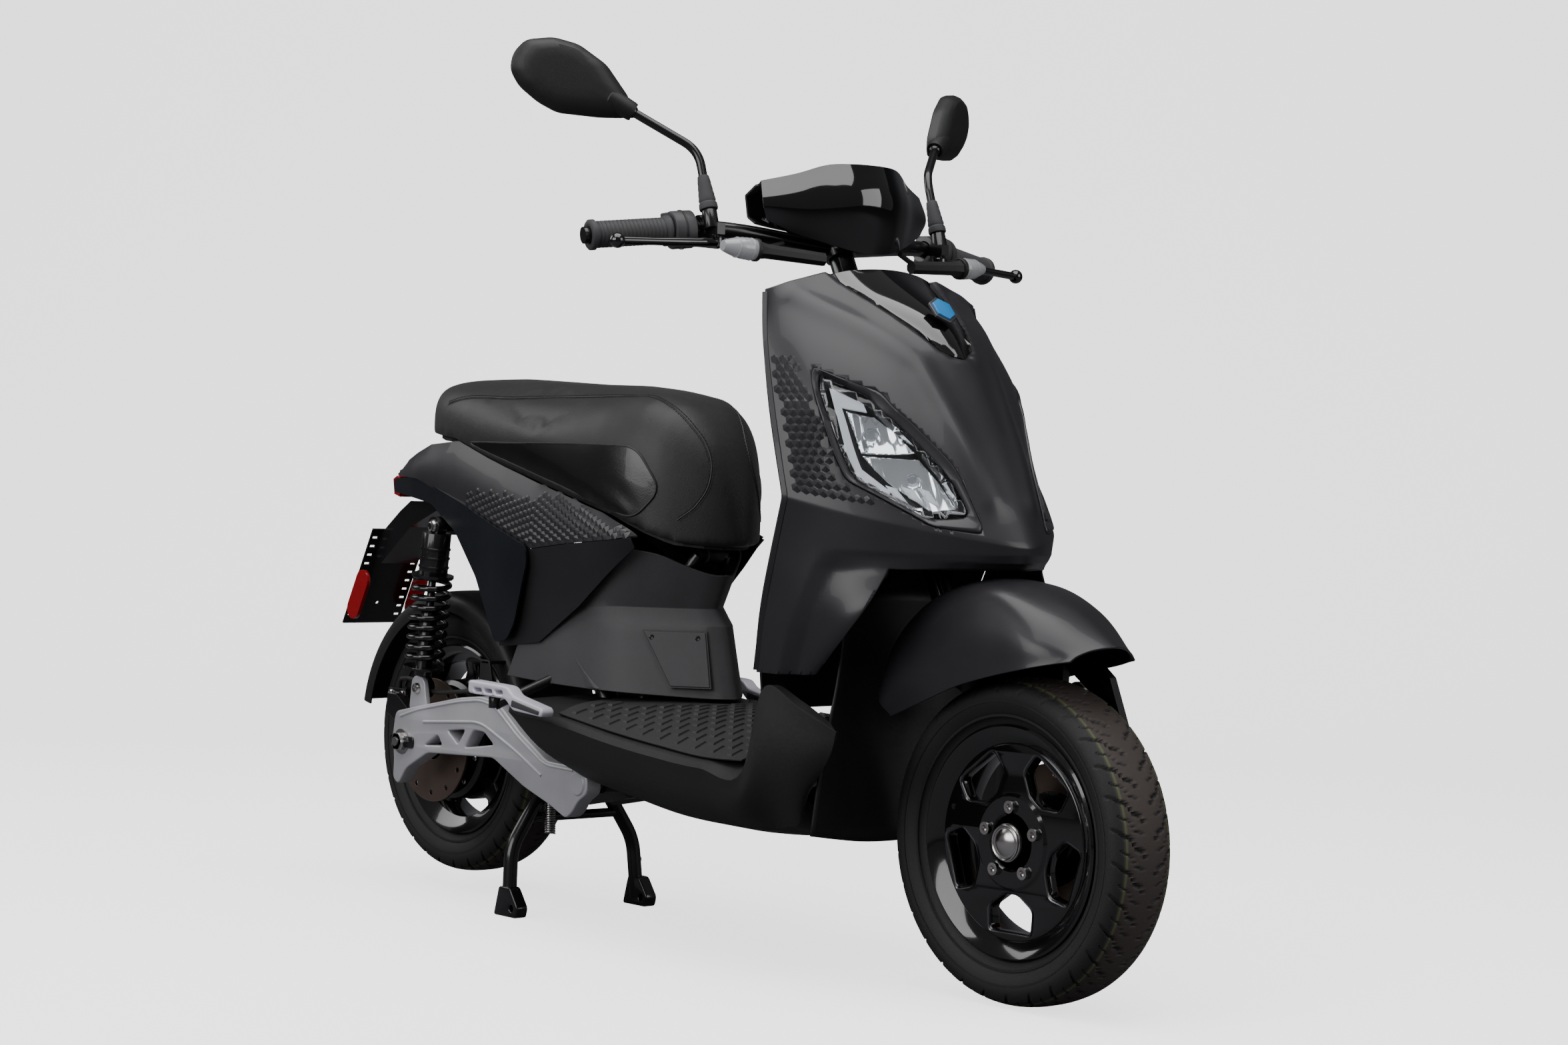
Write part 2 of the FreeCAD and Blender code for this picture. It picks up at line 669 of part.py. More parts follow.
def ring_sector(name, inner, outer, y_low, y_high, centre, start, end):
    """Curved band round the y axis; angles in degrees, measured from +X towards +Z."""
    obj = doc.addObject("Part::Feature", name)
    face_pts = []
    steps = 12
    for k in range(steps + 1):
        angle = math.radians(start + (end - start) * k / steps)
        face_pts.append(Vector(centre.x + outer * math.cos(angle), y_low, centre.z + outer * math.sin(angle)))
    for k in range(steps, -1, -1):
        angle = math.radians(start + (end - start) * k / steps)
        face_pts.append(Vector(centre.x + inner * math.cos(angle), y_low, centre.z + inner * math.sin(angle)))
    face = Part.Face(Part.makePolygon(face_pts + [face_pts[0]]))
    obj.Shape = face.extrude(LEFT * (y_high - y_low))
    return obj


def make_rear_hugger():
    centre = Vector(0, 0, REAR_AXLE_Z)
    roof = ring_sector("hugger_roof", 226, 230, -72, 72, centre, 8, 168)
    sides = [ring_sector("hugger_side%+d" % s, 196, 230, *sorted((68 * s, 72 * s)), centre, 8, 168)
             for s in (-1, 1)]
    stays = [side_prism("hugger_stay%+d" % s, [(150, 318), (190, 318), (176, 372), (150, 372)],
                        *sorted((71 * s, 111.8 * s))) for s in (-1, 1)]
    inner_stays = [side_prism("hugger_tie%+d" % s, [(150, 340), (176, 340), (176, 390), (150, 392)],
                              *sorted((69 * s, 74 * s))) for s in (-1, 1)]
    return fuse("rear_hugger", [roof] + sides + stays + inner_stays)


def turned_body(name, outline, centre, axis_offset=0.0):
    """PartDesign revolution about the wheel axle; outline holds radius and y pairs."""
    body = doc.addObject("PartDesign::Body", name)
    sketch = body.newObject("Sketcher::SketchObject", name + "_section")
    plane = [f for f in body.Origin.OriginFeatures if f.Role == "YZ_Plane"][0]
    sketch.AttachmentSupport = [(plane, "")]
    sketch.MapMode = "FlatFace"
    count = len(outline)
    for index in range(count):
        r0, y0 = outline[index]
        r1, y1 = outline[(index + 1) % count]
        sketch.addGeometry(Part.LineSegment(Vector(y0, r0, 0), Vector(y1, r1, 0)), False)
    revolution = body.newObject("PartDesign::Revolution", name + "_turn")
    revolution.Profile = sketch
    revolution.ReferenceAxis = (sketch, ["H_Axis"])
    revolution.Angle = 360
    body.Tip = revolution
    body.Placement = Placement(Vector(centre.x, axis_offset, centre.z), Rotation())
    return body


def tyre_outline():
    """Low-profile tyre section: bead, bulged wall, shoulder and crowned tread."""
    radius = TYRE_R
    half = dim("tyre_half_width")
    bead = dim("rim_radius") - 8
    seat = dim("rim_half_width") - 5.5
    right = [(bead, seat), (bead + 12, seat), (bead + 20, half - 5), (bead + 38, half),
             (radius - 16, half - 5),
             (radius - 5, half - 20), (radius, 0)]
    left = [(r, -y) for r, y in reversed(right[:-1])]
    inner_right = [(bead, seat - 9), (bead + 16, seat - 7), (bead + 36, half - 9), (radius - 15, half - 22),
                   (radius - 12, 0)]
    inner_left = [(r, -y) for r, y in inner_right[:-1]]
    return right + left + inner_left + list(reversed(inner_right))


def make_tyre(name, centre):
    return turned_body(name, tyre_outline(), centre)


def rim_outline():
    """Rim section: two flanges, two bead seats and a well."""
    rim = dim("rim_radius")
    half = dim("rim_half_width")
    right = [(rim - 28, 12), (rim - 26, half - 2), (rim, half), (rim, half - 4.5), (rim - 9, half - 5),
             (rim - 9, 14), (rim - 15, 10)]
    left = [(r, -y) for r, y in right]
    return right + list(reversed(left))


def make_rear_wheel():
    centre = Vector(0, 0, REAR_AXLE_Z)
    ring = turned_body("rear_rim_ring", rim_outline(), centre)
    start = Vector(0, -dim("hub_motor_half_width"), REAR_AXLE_Z)
    motor = cylinder("motor_case", "dims.hub_motor_radius", "2*dims.hub_motor_half_width", start, LEFT)
    spokes = spoke_set("rear_spoke", centre, 5, 86, 128, 34, 26, 0)
    bore = rod("motor_bore", "dims.axle_radius + dims.fit_clearance", Vector(0, -80, REAR_AXLE_Z),
               Vector(0, 80, REAR_AXLE_Z))
    return cut("rear_hub_motor", fuse("rear_wheel_casting", [ring, motor] + spokes), bore)


def spoke_set(name, centre, count, inner, outer, width, depth, y_mid):
    spokes = []
    for index in range(count):
        angle = 360.0 * index / count + 90
        turn = Rotation(LEFT, -angle)
        middle = turn.multVec(Vector((inner + outer) / 2, 0, 0))
        place = Vector(centre.x + middle.x, y_mid, centre.z + middle.z)
        spokes.append(box("%s%d" % (name, index), (outer - inner, depth, width), place, turn))
    return spokes


def make_disc(name, centre, y_mid, bore):
    """Drilled brake disc: padded ring, one hole, polar pattern."""
    body = doc.addObject("PartDesign::Body", name)
    plane = [f for f in body.Origin.OriginFeatures if f.Role == "XZ_Plane"][0]
    ring = body.newObject("Sketcher::SketchObject", name + "_ring")
    ring.AttachmentSupport = [(plane, "")]
    ring.MapMode = "FlatFace"
    outer = ring.addGeometry(Part.Circle(Vector(0, 0, 0), UP, dim("disc_radius")), False)
    inner = ring.addGeometry(Part.Circle(Vector(0, 0, 0), UP, bore), False)
    ring.addConstraint(Sketcher.Constraint("Radius", outer, dim("disc_radius")))
    ring.setExpression("Constraints[0]", "dims.disc_radius")
    ring.addConstraint(Sketcher.Constraint("Radius", inner, bore))
    pad = body.newObject("PartDesign::Pad", name + "_pad")
    pad.Profile = ring
    pad.setExpression("Length", "dims.disc_thickness")
    pad.Midplane = True
    hole = body.newObject("Sketcher::SketchObject", name + "_drill")
    hole.AttachmentSupport = [(plane, "")]
    hole.MapMode = "FlatFace"
    at = Vector(dim("disc_radius") - 14, 0, 0)
    drill = hole.addGeometry(Part.Circle(at, UP, dim("disc_hole_radius")), False)
    hole.addConstraint(Sketcher.Constraint("Radius", drill, dim("disc_hole_radius")))
    hole.setExpression("Constraints[0]", "dims.disc_hole_radius")
    pocket = body.newObject("PartDesign::Pocket", name + "_pocket")
    pocket.Profile = hole
    pocket.Type = 1
    pocket.Midplane = True
    pattern = body.newObject("PartDesign::PolarPattern", name + "_pattern")
    pattern.Originals = [pocket]
    pattern.Axis = (ring, ["N_Axis"])
    pattern.Angle = 360
    pattern.setExpression("Occurrences", "dims.disc_hole_count")
    body.Tip = pattern
    body.Placement = Placement(Vector(centre.x, y_mid, centre.z), Rotation())
    return body


def make_rear_caliper():
    """Block that straddles the rear disc, with a bracket to the arm."""
    body = box("caliper_block", (50, 32, 42), Vector(-80, -81, 290))
    slot = rod("caliper_slot", "dims.disc_radius + 3", Vector(0, -84.4, REAR_AXLE_Z),
               Vector(0, -77.6, REAR_AXLE_Z))
    outline = [(-84, 272), (-40, 254), (-22, 262), (-22, 280), (-60, 304), (-84, 304)]
    bracket = side_prism("caliper_bracket", outline, -111.8, -94)
    return cut("rear_caliper", fuse("caliper_parts", [body, bracket]), slot)


def make_rear_axle():
    axle = rod("axle_shaft", "dims.axle_radius", Vector(0, -152, REAR_AXLE_Z), Vector(0, 152, REAR_AXLE_Z))
    nuts = [rod("axle_nut%+d" % s, 13, Vector(0, 138.2 * s, REAR_AXLE_Z), Vector(0, 149 * s, REAR_AXLE_Z))
            for s in (-1, 1)]
    return fuse("rear_axle", [axle] + nuts)


def shock_axis(top, bottom):
    direction = top - bottom
    return direction / direction.Length


def eye(name, centre, y_low, y_high, bore="dims.pivot_pin_radius + dims.fit_clearance"):
    outer = rod(name + "_outer", 15, Vector(centre.x, y_low, centre.z), Vector(centre.x, y_high, centre.z))
    inner = rod(name + "_bore", bore, Vector(centre.x, y_low - 1, centre.z),
                Vector(centre.x, y_high + 1, centre.z))
    return outer, inner


def make_shock_upper(name, top, bottom, shroud_length):
    """Eye, cap and open shroud that covers the damper rod with room to spare."""
    axis = shock_axis(top, bottom)
    outer, bore = eye(name + "_eye", top, top.y - 8, top.y + 8)
    shroud = cylinder(name + "_shroud", "dims.shroud_radius", shroud_length,
                      top - axis * (10 + shroud_length), axis)
    hollow = cylinder(name + "_hollow", "dims.shroud_radius - 3", shroud_length - 2,
                      top - axis * (14 + shroud_length), axis)
    body = cut(name + "_body", fuse(name + "_solid", [outer, shroud]), hollow)
    return cut(name, body, bore)


def make_shock_lower(name, top, bottom, shroud_length, stroke):
    """Eye beside its lug, damper tube with a spring seat, and the rod that enters the shroud."""
    axis = shock_axis(top, bottom)
    length = (top - bottom).Length
    side = 1 if bottom.y > 0 else -1
    low, high = sorted((bottom.y + EYE_NEAR * side, bottom.y + EYE_FAR * side))
    outer, bore = eye(name + "_eye", bottom, low, high)
    tube_length = length - shroud_length - stroke - 30
    tube = cylinder(name + "_tube", "dims.shock_tube_radius", tube_length, bottom + axis * 20, axis)
    seat = cylinder(name + "_seat", "dims.spring_coil_radius + 4", 4, bottom + axis * 30, axis)
    neck_start = Vector(bottom.x, (low + high) / 2, bottom.z) + axis * 12
    neck = rod(name + "_neck", 7, neck_start, bottom + axis * 28)
    damper = cylinder(name + "_rod", 6, length - shroud_length - 42, bottom + axis * 40, axis)
    return cut(name, fuse(name + "_solid", [outer, tube, seat, neck, damper]), bore)


def make_spring(name, top, bottom, low_gap, high_gap):
    axis = shock_axis(top, bottom)
    length = (top - bottom).Length - low_gap - high_gap
    coil = Part.makeHelix(dim("spring_pitch"), length, dim("spring_coil_radius"))
    start = Vector(dim("spring_coil_radius"), 0, 0)
    ring = Part.Wire(Part.makeCircle(dim("spring_wire_radius"), start, LEFT))
    shape = Part.Wire(coil.Edges).makePipeShell([ring], True, True)
    obj = feature(name, shape)
    obj.Placement = turned_to(bottom + axis * low_gap, axis)
    return obj


def pair(name, maker):
    return group(name, [maker(name + "_right", -1), maker(name + "_left", 1)])


def make_rear_shock_uppers():
    return pair("rear_shock_uppers",
                lambda name, s: make_shock_upper(name, on_side(SHOCK_TOP, s), on_side(SHOCK_BOTTOM, s),
                                                 REAR_SHROUD))


def make_rear_shock_lowers():
    return pair("rear_shock_lowers",
                lambda name, s: make_shock_lower(name, on_side(SHOCK_TOP, s), on_side(SHOCK_BOTTOM, s),
                                                 REAR_SHROUD, REAR_STROKE))


def make_rear_springs():
    return pair("rear_springs",
                lambda name, s: make_spring(name, on_side(SHOCK_TOP, s), on_side(SHOCK_BOTTOM, s), 39, 80))


def make_centre_stand():
    tube = "dims.stand_tube_radius"
    parts = [rod("stand_cross", tube, Vector(STAND_PIVOT.x, -64, STAND_PIVOT.z),
                 Vector(STAND_PIVOT.x, 64, STAND_PIVOT.z))]
    for side in (-1, 1):
        leg = [Vector(STAND_PIVOT.x, 64 * side, STAND_PIVOT.z), Vector(258, 112 * side, 104),
               Vector(264, 118 * side, 14)]
        parts.append(bent_tube("stand_leg%+d" % side, tube, leg))
        foot = [(240, 0), (296, 0), (300, 18), (278, 44), (252, 44)]
        low, high = sorted((108 * side, 130 * side))
        parts.append(side_prism("stand_foot%+d" % side, foot, low, high))
    tang = [Vector(260, 116, 70), Vector(226, 150, 62)]
    parts.append(rod("stand_tang", 7, *tang))
    return fuse("centre_stand", parts)


def make_peg(side):
    """Folding footrest: two-step blade on a knuckle that turns on the frame's upright pin."""
    name = "passenger_peg%+d" % side
    outline = [(300, 331), (300, 352), (398, 348), (410, 336), (484, 323), (484, 310), (410, 314), (390, 330)]
    blade = side_prism(name + "_blade", outline, *sorted((203 * side, 226 * side)))
    knuckle = cylinder(name + "_knuckle", 9, 17, Vector(PEG_PIN.x, PEG_PIN.y * side, 329), UP)
    arm = box(name + "_arm", (14, 16, 12), Vector(PEG_PIN.x, (PEG_PIN.y + 8) * side, 338))
    bore = cylinder(name + "_bore", PEG_PIN_RADIUS + CLEAR, 80, Vector(PEG_PIN.x, PEG_PIN.y * side, 290), UP)
    return cut(name, fuse(name + "_solid", [blade, knuckle, arm]), bore)


def make_battery():
    case = box("battery_case", (190, 96, 150), Vector(390, 0, 427))
    handle = bent_tube("battery_handle", 6, [Vector(340, 0, 496), Vector(346, 0, 514), Vector(434, 0, 514),
                                             Vector(440, 0, 496)])
    return fuse("battery", [case, handle])


def make_plate_bracket():
    """Sloping number-plate holder with slotted edges, hung from the tail."""
    width = dim("plate_width")
    height = dim("plate_height")
    turn = Rotation(LEFT, math.degrees(PLATE_TILT))
    centre = PLATE_TOP + turn.multVec(Vector(0, 0, -height / 2)) + turn.multVec(Vector(1.5, 0, 0))
    plate = box("plate_sheet", (3, width, height), centre, turn)
    slots = []
    for side in (-1, 1):
        for row in range(10):
            at = PLATE_TOP + turn.multVec(Vector(1.5, side * (width / 2 - 9), -16 - row * 16))
            slots.append(box("plate_slot%+d_%d" % (side, row), (8, 10, 5), at, turn))
    arm = [(-150, 602), (-60, 602), (-60, 594), (-150, 560), (-232, 500), (-252, 512), (-238, 545),
           (-180, 585)]
    hanger = side_prism("plate_hanger", arm, -34, 34)
    holes = []
    for end in (-1, 1):
        at = PLATE_TOP + turn.multVec(Vector(-4, 0, -height / 2 + end * 50))
        holes.append(cylinder("plate_hole%+d" % end, 3, 12, at, turn.multVec(Vector(1, 0, 0))))
    solid = fuse("plate_parts", [plate, hanger])
    return cut("plate_bracket", solid, fuse("plate_openings", slots + holes))


def make_reflectors():
    turn = Rotation(LEFT, math.degrees(PLATE_TILT))
    parts = []
    for side in (-1, 1):
        low = PLATE_TOP + turn.multVec(Vector(22, 0, -142))
        y = 55 * side
        body = box("reflector_mid%+d" % side, (34, 6, 52), Vector(low.x, y, low.z) + turn.multVec(Vector(0, 0, 32)),
                   turn)
        ends = []
        for step in (6, 58):
            at = Vector(low.x, y - 3, low.z) + turn.multVec(Vector(0, 0, step))
            ends.append(cylinder("reflector_end%+d_%d" % (side, step), 17, 6, at, LEFT))
        parts.append(fuse("reflector%+d" % side, [body] + ends))
    return group("side_reflectors", parts)


# ---------------------------------------------------------------- seat
def make_seat_cushion():
    side_view = [(622, 556), (600, 558), (569, 563), (528, 578), (472, 602), (392, 624), (275, 654), (181, 677),
                 (87, 702), (20, 706), (-40, 712), (-66, 724), (-78, 742), (-66, 768), (-40, 783), (40, 791),
                 (93, 790), (281, 779), (426, 775), (480, 768), (535, 745), (565, 725), (590, 700), (610, 672),
                 (622, 645), (628, 612), (628, 572)]
    half = dim("seat_half_width")
    body = side_prism("cushion_side", side_view, -half, half)
    plan = [(-78, 20), (-68, 44), (-50, 60), (-20, 84), (20, 106), (60, 117), (120, 125), (200, half),
            (380, half), (465, 124), (500, 118), (530, 110), (558, 98), (580, 80), (601, 58), (620, 28), (628, 8)]
    corners = [Vector(x, y, 540) for x, y in plan] + [Vector(x, -y, 540) for x, y in reversed(plan)]
    return common("seat_cushion", body, prism("cushion_plan", corners, UP, 280))


def make_seat_base():
    """Pan under the cushion with a hook that turns on the frame's hinge bar."""
    line = [(614, 554), (598, 556), (569, 560), (528, 575), (472, 599), (392, 621), (275, 651), (181, 674),
            (87, 699), (20, 703), (-40, 709)]
    low = [(x, z - 6) for x, z in reversed(line)]
    pan = side_prism("pan_side", line + low, -112, 112)
    plan = [(-44, 46), (-20, 64), (20, 84), (60, 96), (120, 106), (200, 112), (380, 112), (465, 105), (500, 98),
            (530, 88), (558, 76), (580, 60), (601, 40), (616, 14)]
    corners = [Vector(x, y, 530) for x, y in plan] + [Vector(x, -y, 530) for x, y in reversed(plan)]
    trimmed = common("pan_trimmed", pan, prism("pan_plan", corners, UP, 220))
    hook = rod("seat_hook", 13, Vector(SEAT_HINGE.x, -14, SEAT_HINGE.z),
               Vector(SEAT_HINGE.x, 14, SEAT_HINGE.z))
    bore = rod("hook_bore", "dims.hinge_bar_radius + dims.fit_clearance",
               Vector(SEAT_HINGE.x, -50, SEAT_HINGE.z), Vector(SEAT_HINGE.x, 50, SEAT_HINGE.z))
    return cut("seat_base", fuse("pan_and_hook", [trimmed, hook]), bore)


# ---------------------------------------------------------------- steering and controls
LEG_OUTLINE = [(1040, 452), (1062, 474), (1150, 470), (1230, 456), (1288, 412), (1322, 330), (1336, 205),
               (1314, 184), (1292, 205), (1282, 320), (1256, 392), (1208, 424), (1206, 370), (1174, 370),
               (1172, 442), (1080, 450)]
LEG_INNER = 57
LEG_OUTER = 69


def make_steering_stem():
    """Column, single leg on the left of the wheel, and the studs of the front suspension."""
    column = cylinder("column", "dims.stem_radius", 530, steer_point(522), STEER_UP)
    leg = side_prism("leg", LEG_OUTLINE, LEG_INNER, LEG_OUTER)
    crown = side_prism("crown", [(1040, 452), (1062, 474), (1098, 473), (1084, 452)], -14, LEG_OUTER)
    pivot = rod("arm_stud", "dims.pivot_pin_radius", Vector(FRONT_PIVOT.x, 60, FRONT_PIVOT.z),
                Vector(FRONT_PIVOT.x, 98, FRONT_PIVOT.z))
    top = FRONT_SHOCK_TOP
    stud = rod("shock_stud", "dims.pivot_pin_radius", Vector(top.x, 60, top.z), Vector(top.x, 118, top.z))
    return fuse("steering_stem", [column, leg, crown, pivot, stud])


def make_front_arm():
    """Trailing arm with the stub axle of the wheel and the lower shock stud."""
    axle_z = TYRE_R
    outline = [(1338, 205), (1326, 226), (1300, 232), (1240, 246), (1214, 246), (1196, 232), (1186, 205),
               (1198, 182), (1224, 178), (1300, 182), (1328, 188)]
    blade = side_prism("arm_blade", outline, 74, 92)
    axle = rod("stub_axle", "dims.axle_radius", Vector(WHEELBASE, 90, axle_z), Vector(WHEELBASE, -28, axle_z))
    stud = rod("arm_shock_stud", "dims.pivot_pin_radius", Vector(FRONT_SHOCK_BOTTOM.x, 90, FRONT_SHOCK_BOTTOM.z),
               Vector(FRONT_SHOCK_BOTTOM.x, 106, FRONT_SHOCK_BOTTOM.z))
    bore = rod("arm_bore", "dims.pivot_pin_radius + dims.fit_clearance",
               Vector(FRONT_PIVOT.x, 50, FRONT_PIVOT.z), Vector(FRONT_PIVOT.x, 110, FRONT_PIVOT.z))
    return cut("front_arm", fuse("front_arm_parts", [blade, axle, stud]), bore)


def make_front_wheel():
    centre = Vector(WHEELBASE, 0, TYRE_R)
    ring = turned_body("front_rim_ring", rim_outline(), centre)
    hub = cylinder("front_hub", "dims.front_hub_radius", "dims.front_hub_length",
                   Vector(WHEELBASE, -dim("front_hub_length") / 2, TYRE_R), LEFT)
    spokes = spoke_set("front_spoke", centre, 5, 54, 128, 50, 22, -14)
    bore = rod("hub_bore", "dims.axle_radius + dims.fit_clearance", Vector(WHEELBASE, -60, TYRE_R),
               Vector(WHEELBASE, 60, TYRE_R))
    return cut("front_rim", fuse("front_wheel_casting", [ring, hub] + spokes), bore)


def make_wheel_bolts():
    face = -dim("front_hub_length") / 2 - 0.2
    radius = dim("wheel_bolt_circle_radius")
    parts = []
    for index in range(5):
        angle = math.radians(72 * index + 90)
        at = Vector(WHEELBASE + radius * math.cos(angle), face, TYRE_R + radius * math.sin(angle))
        head = cylinder("bolt_head%d" % index, "dims.wheel_bolt_radius", 8, at, -LEFT)
        socket = cylinder("bolt_socket%d" % index, 4, 5, at - LEFT * 4, -LEFT)
        parts.append(cut("bolt%d" % index, head, socket))
    return parts


def make_hub_cap():
    face = -dim("front_hub_length") / 2 - 0.2
    base = cylinder("cap_base", "dims.hub_cap_radius", "dims.hub_cap_length",
                    Vector(WHEELBASE, face, TYRE_R), -LEFT)
    rim = cone("cap_dome", 23, 19, 4, Vector(WHEELBASE, face - dim("hub_cap_length"), TYRE_R), -LEFT)
    return fuse("hub_cap", [base, rim])


FENDER_ROWS = [
    [(1038, 80, 350), (1015, 80, 368), (1000, 62, 384), (996, 30, 387), (995, 0, 388)],
    [(1075, 81, 364), (1045, 80, 415), (1022, 62, 440), (1016, 30, 446), (1014, 0, 447)],
    [(1118, 82, 381), (1100, 80, 455), (1078, 62, 492), (1070, 30, 500), (1068, 0, 502)],
    [(1160, 82, 397), (1150, 80, 470), (1135, 62, 514), (1130, 30, 524), (1128, 0, 526)],
    [(1220, 82, 413), (1215, 79, 475), (1205, 62, 516), (1202, 30, 526), (1200, 0, 529)],
    [(1280, 80, 426), (1280, 74, 462), (1272, 56, 492), (1269, 28, 503), (1268, 0, 507)],
    [(1330, 58, 437), (1335, 46, 445), (1342, 30, 451), (1348, 14, 454), (1351, 0, 455)],
]


def make_front_fender():
    shell = feature("fender_shell", sheet_solid(symmetric_grid(FENDER_ROWS), 3))
    column_hole = cylinder("fender_column_hole", "dims.stem_radius + 3", 260, steer_point(440), STEER_UP)
    crown_hole = box("fender_crown_hole", (100, 94, 40), Vector(1070, 27, 463))
    return cut("front_fender", shell, fuse("fender_holes", [column_hole, crown_hole]))


def bar_direction(side):
    direction = on_side(BAR_END, side) - on_side(BAR_BEND, side)
    return direction / direction.Length


def bar_point(side, distance):
    return on_side(BAR_BEND, side) + bar_direction(side) * distance


def make_handlebar():
    middle = Vector(steer_point(1066).x, 0, steer_point(1066).z)
    path = [on_side(BAR_END, -1), on_side(BAR_BEND, -1), Vector(800, -130, 972), middle,
            Vector(800, 130, 972), BAR_BEND, BAR_END]
    bar = bent_tube("bar", "dims.bar_radius", path)
    clamp = cylinder("bar_clamp", 21, 22, steer_point(1053), STEER_UP)
    return fuse("handlebar", [bar, clamp])


GRIP_START = 58


def make_grip(name, side):
    axis = bar_direction(side)
    sleeve = cylinder(name + "_sleeve", "dims.grip_radius", "dims.grip_length",
                      bar_point(side, GRIP_START), axis)
    flange = cylinder(name + "_flange", "dims.grip_flange_radius", 5,
                      bar_point(side, GRIP_START + dim("grip_length") - 4), axis)
    collar = cylinder(name + "_collar", "dims.grip_flange_radius", 6, bar_point(side, GRIP_START), axis)
    bore = cylinder(name + "_bore", "dims.bar_radius + dims.fit_clearance", "dims.grip_length + 40",
                    bar_point(side, GRIP_START - 10), axis)
    return cut(name, fuse(name + "_solid", [sleeve, flange, collar]), bore)


POD_START = 27
POD_LENGTH = 30


def make_control_pods():
    pods = []
    for side in (-1, 1):
        axis = bar_direction(side)
        name = "pod%+d" % side
        barrel = cylinder(name + "_barrel", 25, POD_LENGTH, bar_point(side, POD_START), axis)
        middle = bar_point(side, POD_START + POD_LENGTH / 2)
        turn = Rotation(LEFT * side, axis)
        rear = box(name + "_rear", (22, POD_LENGTH, 44), middle + turn.multVec(Vector(-18, 0, 2)), turn)
        bore = cylinder(name + "_bore", "dims.bar_radius + dims.fit_clearance", POD_LENGTH + 20,
                        bar_point(side, POD_START - 10), axis)
        wells = [bore]
        for well in POD_BUTTONS:
            if well[1] == side:
                wells.append(button_solid(well, name + "_well_" + well[0], 0.4, 3.0))
        pods.append(cut(name, fuse(name + "_solid", [barrel, rear]), fuse(name + "_wells", wells)))
    return group("switch_pods", pods)


# name, side, distance along the bar, height on the rear face, half width, half height, sideways play
POD_BUTTONS = [
    ("start_button", -1, 42, -8, 7, 6, 0),
    ("horn_button", 1, 42, -12, 7, 5, 0),
    ("turn_switch", 1, 42, 2, 6, 4, 3.2),
]


def button_solid(well, name, margin, extra_depth):
    side, distance, height, half_width, half_height, play = well[1:]
    slot = half_width + margin + (play if margin else 0)
    turn = Rotation(LEFT * side, bar_direction(side))
    middle = bar_point(side, distance) + turn.multVec(Vector(-27 + extra_depth / 2, 0, 2 + height))
    size = (10 + extra_depth, 2 * slot, 2 * (half_height + margin))
    return box(name, size, middle, turn)


def make_button(label):
    well = [entry for entry in POD_BUTTONS if entry[0] == label][0]
    return button_solid(well, label, 0, 0)


LEVER_PIVOT = Vector(810, 200, 955)


def make_lever_perches():
    parts = []
    for side in (-1, 1):
        name = "perch%+d" % side
        axis = bar_direction(side)
        ring = cylinder(name + "_ring", 18, 13, bar_point(side, 3.5), axis)
        block = box(name + "_block", (34, 13, 15), on_side(Vector(803, 200.5, 973), side))
        pin = cylinder(name + "_pin", 4, 22, on_side(LEVER_PIVOT, side) - UP * 8, UP)
        boss = rod(name + "_boss", 10, on_side(MIRROR_FOOT - MIRROR_RISE * 26, side),
                   on_side(MIRROR_FOOT, side))
        bore = cylinder(name + "_bore", "1.07*dims.bar_radius", 60, bar_point(side, -20), axis)
        parts.append(cut(name, fuse(name + "_solid", [ring, block, pin, boss]), bore))
    return group("lever_perches", parts)


def make_lever(side):
    name = "brake_lever%+d" % side
    radius = "dims.lever_radius"
    path = [LEVER_PIVOT, Vector(817, 225, 953), Vector(811, 290, 950), Vector(803, 356, 947)]
    blade = bent_tube(name + "_blade", radius, [on_side(p, side) for p in path])
    hub = cylinder(name + "_hub", 10, 14, on_side(LEVER_PIVOT, side) - UP * 7, UP)
    end = ball(name + "_ball", "dims.lever_ball_radius", on_side(path[-1], side))
    bore = cylinder(name + "_bore", 4 + CLEAR, 60, on_side(LEVER_PIVOT, side) - UP * 30, UP)
    return cut(name, fuse(name + "_solid", [blade, hub, end]), bore)


MIRROR_FOOT = Vector(799, 205, 998)
MIRROR_ELBOW = Vector(774, 205, 1077)
MIRROR_NECK = Vector(717, 273, 1126)
MIRROR_RISE = (MIRROR_ELBOW - MIRROR_FOOT).normalize()
MIRROR_OUT = Vector(-0.525, 0.851, 0)
MIRROR_OUTLINE = [(4, -8), (40, -9), (97, -5), (123, 8), (148, 28), (160, 49), (157, 70), (141, 88),
                  (105, 93), (71, 85), (34, 60), (2, 16)]
MIRROR_MIDDLE = (96, 44)


def make_mirror_stem(side):
    """Stem with a rubber boot at its foot and a ball for the head at its end."""
    name = "mirror_stem%+d" % side
    foot = MIRROR_FOOT + MIRROR_RISE * 0.5
    path = [on_side(p, side) for p in (foot, MIRROR_ELBOW, MIRROR_NECK)]
    tube = bent_tube(name + "_tube", "dims.mirror_stem_radius", path)
    boot = cylinder(name + "_boot", "dims.mirror_boot_radius", 46, on_side(foot, side),
                    on_side(MIRROR_RISE, side))
    end = ball(name + "_ball", "dims.mirror_ball_radius", on_side(MIRROR_NECK, side))
    return fuse(name, [tube, boot, end])


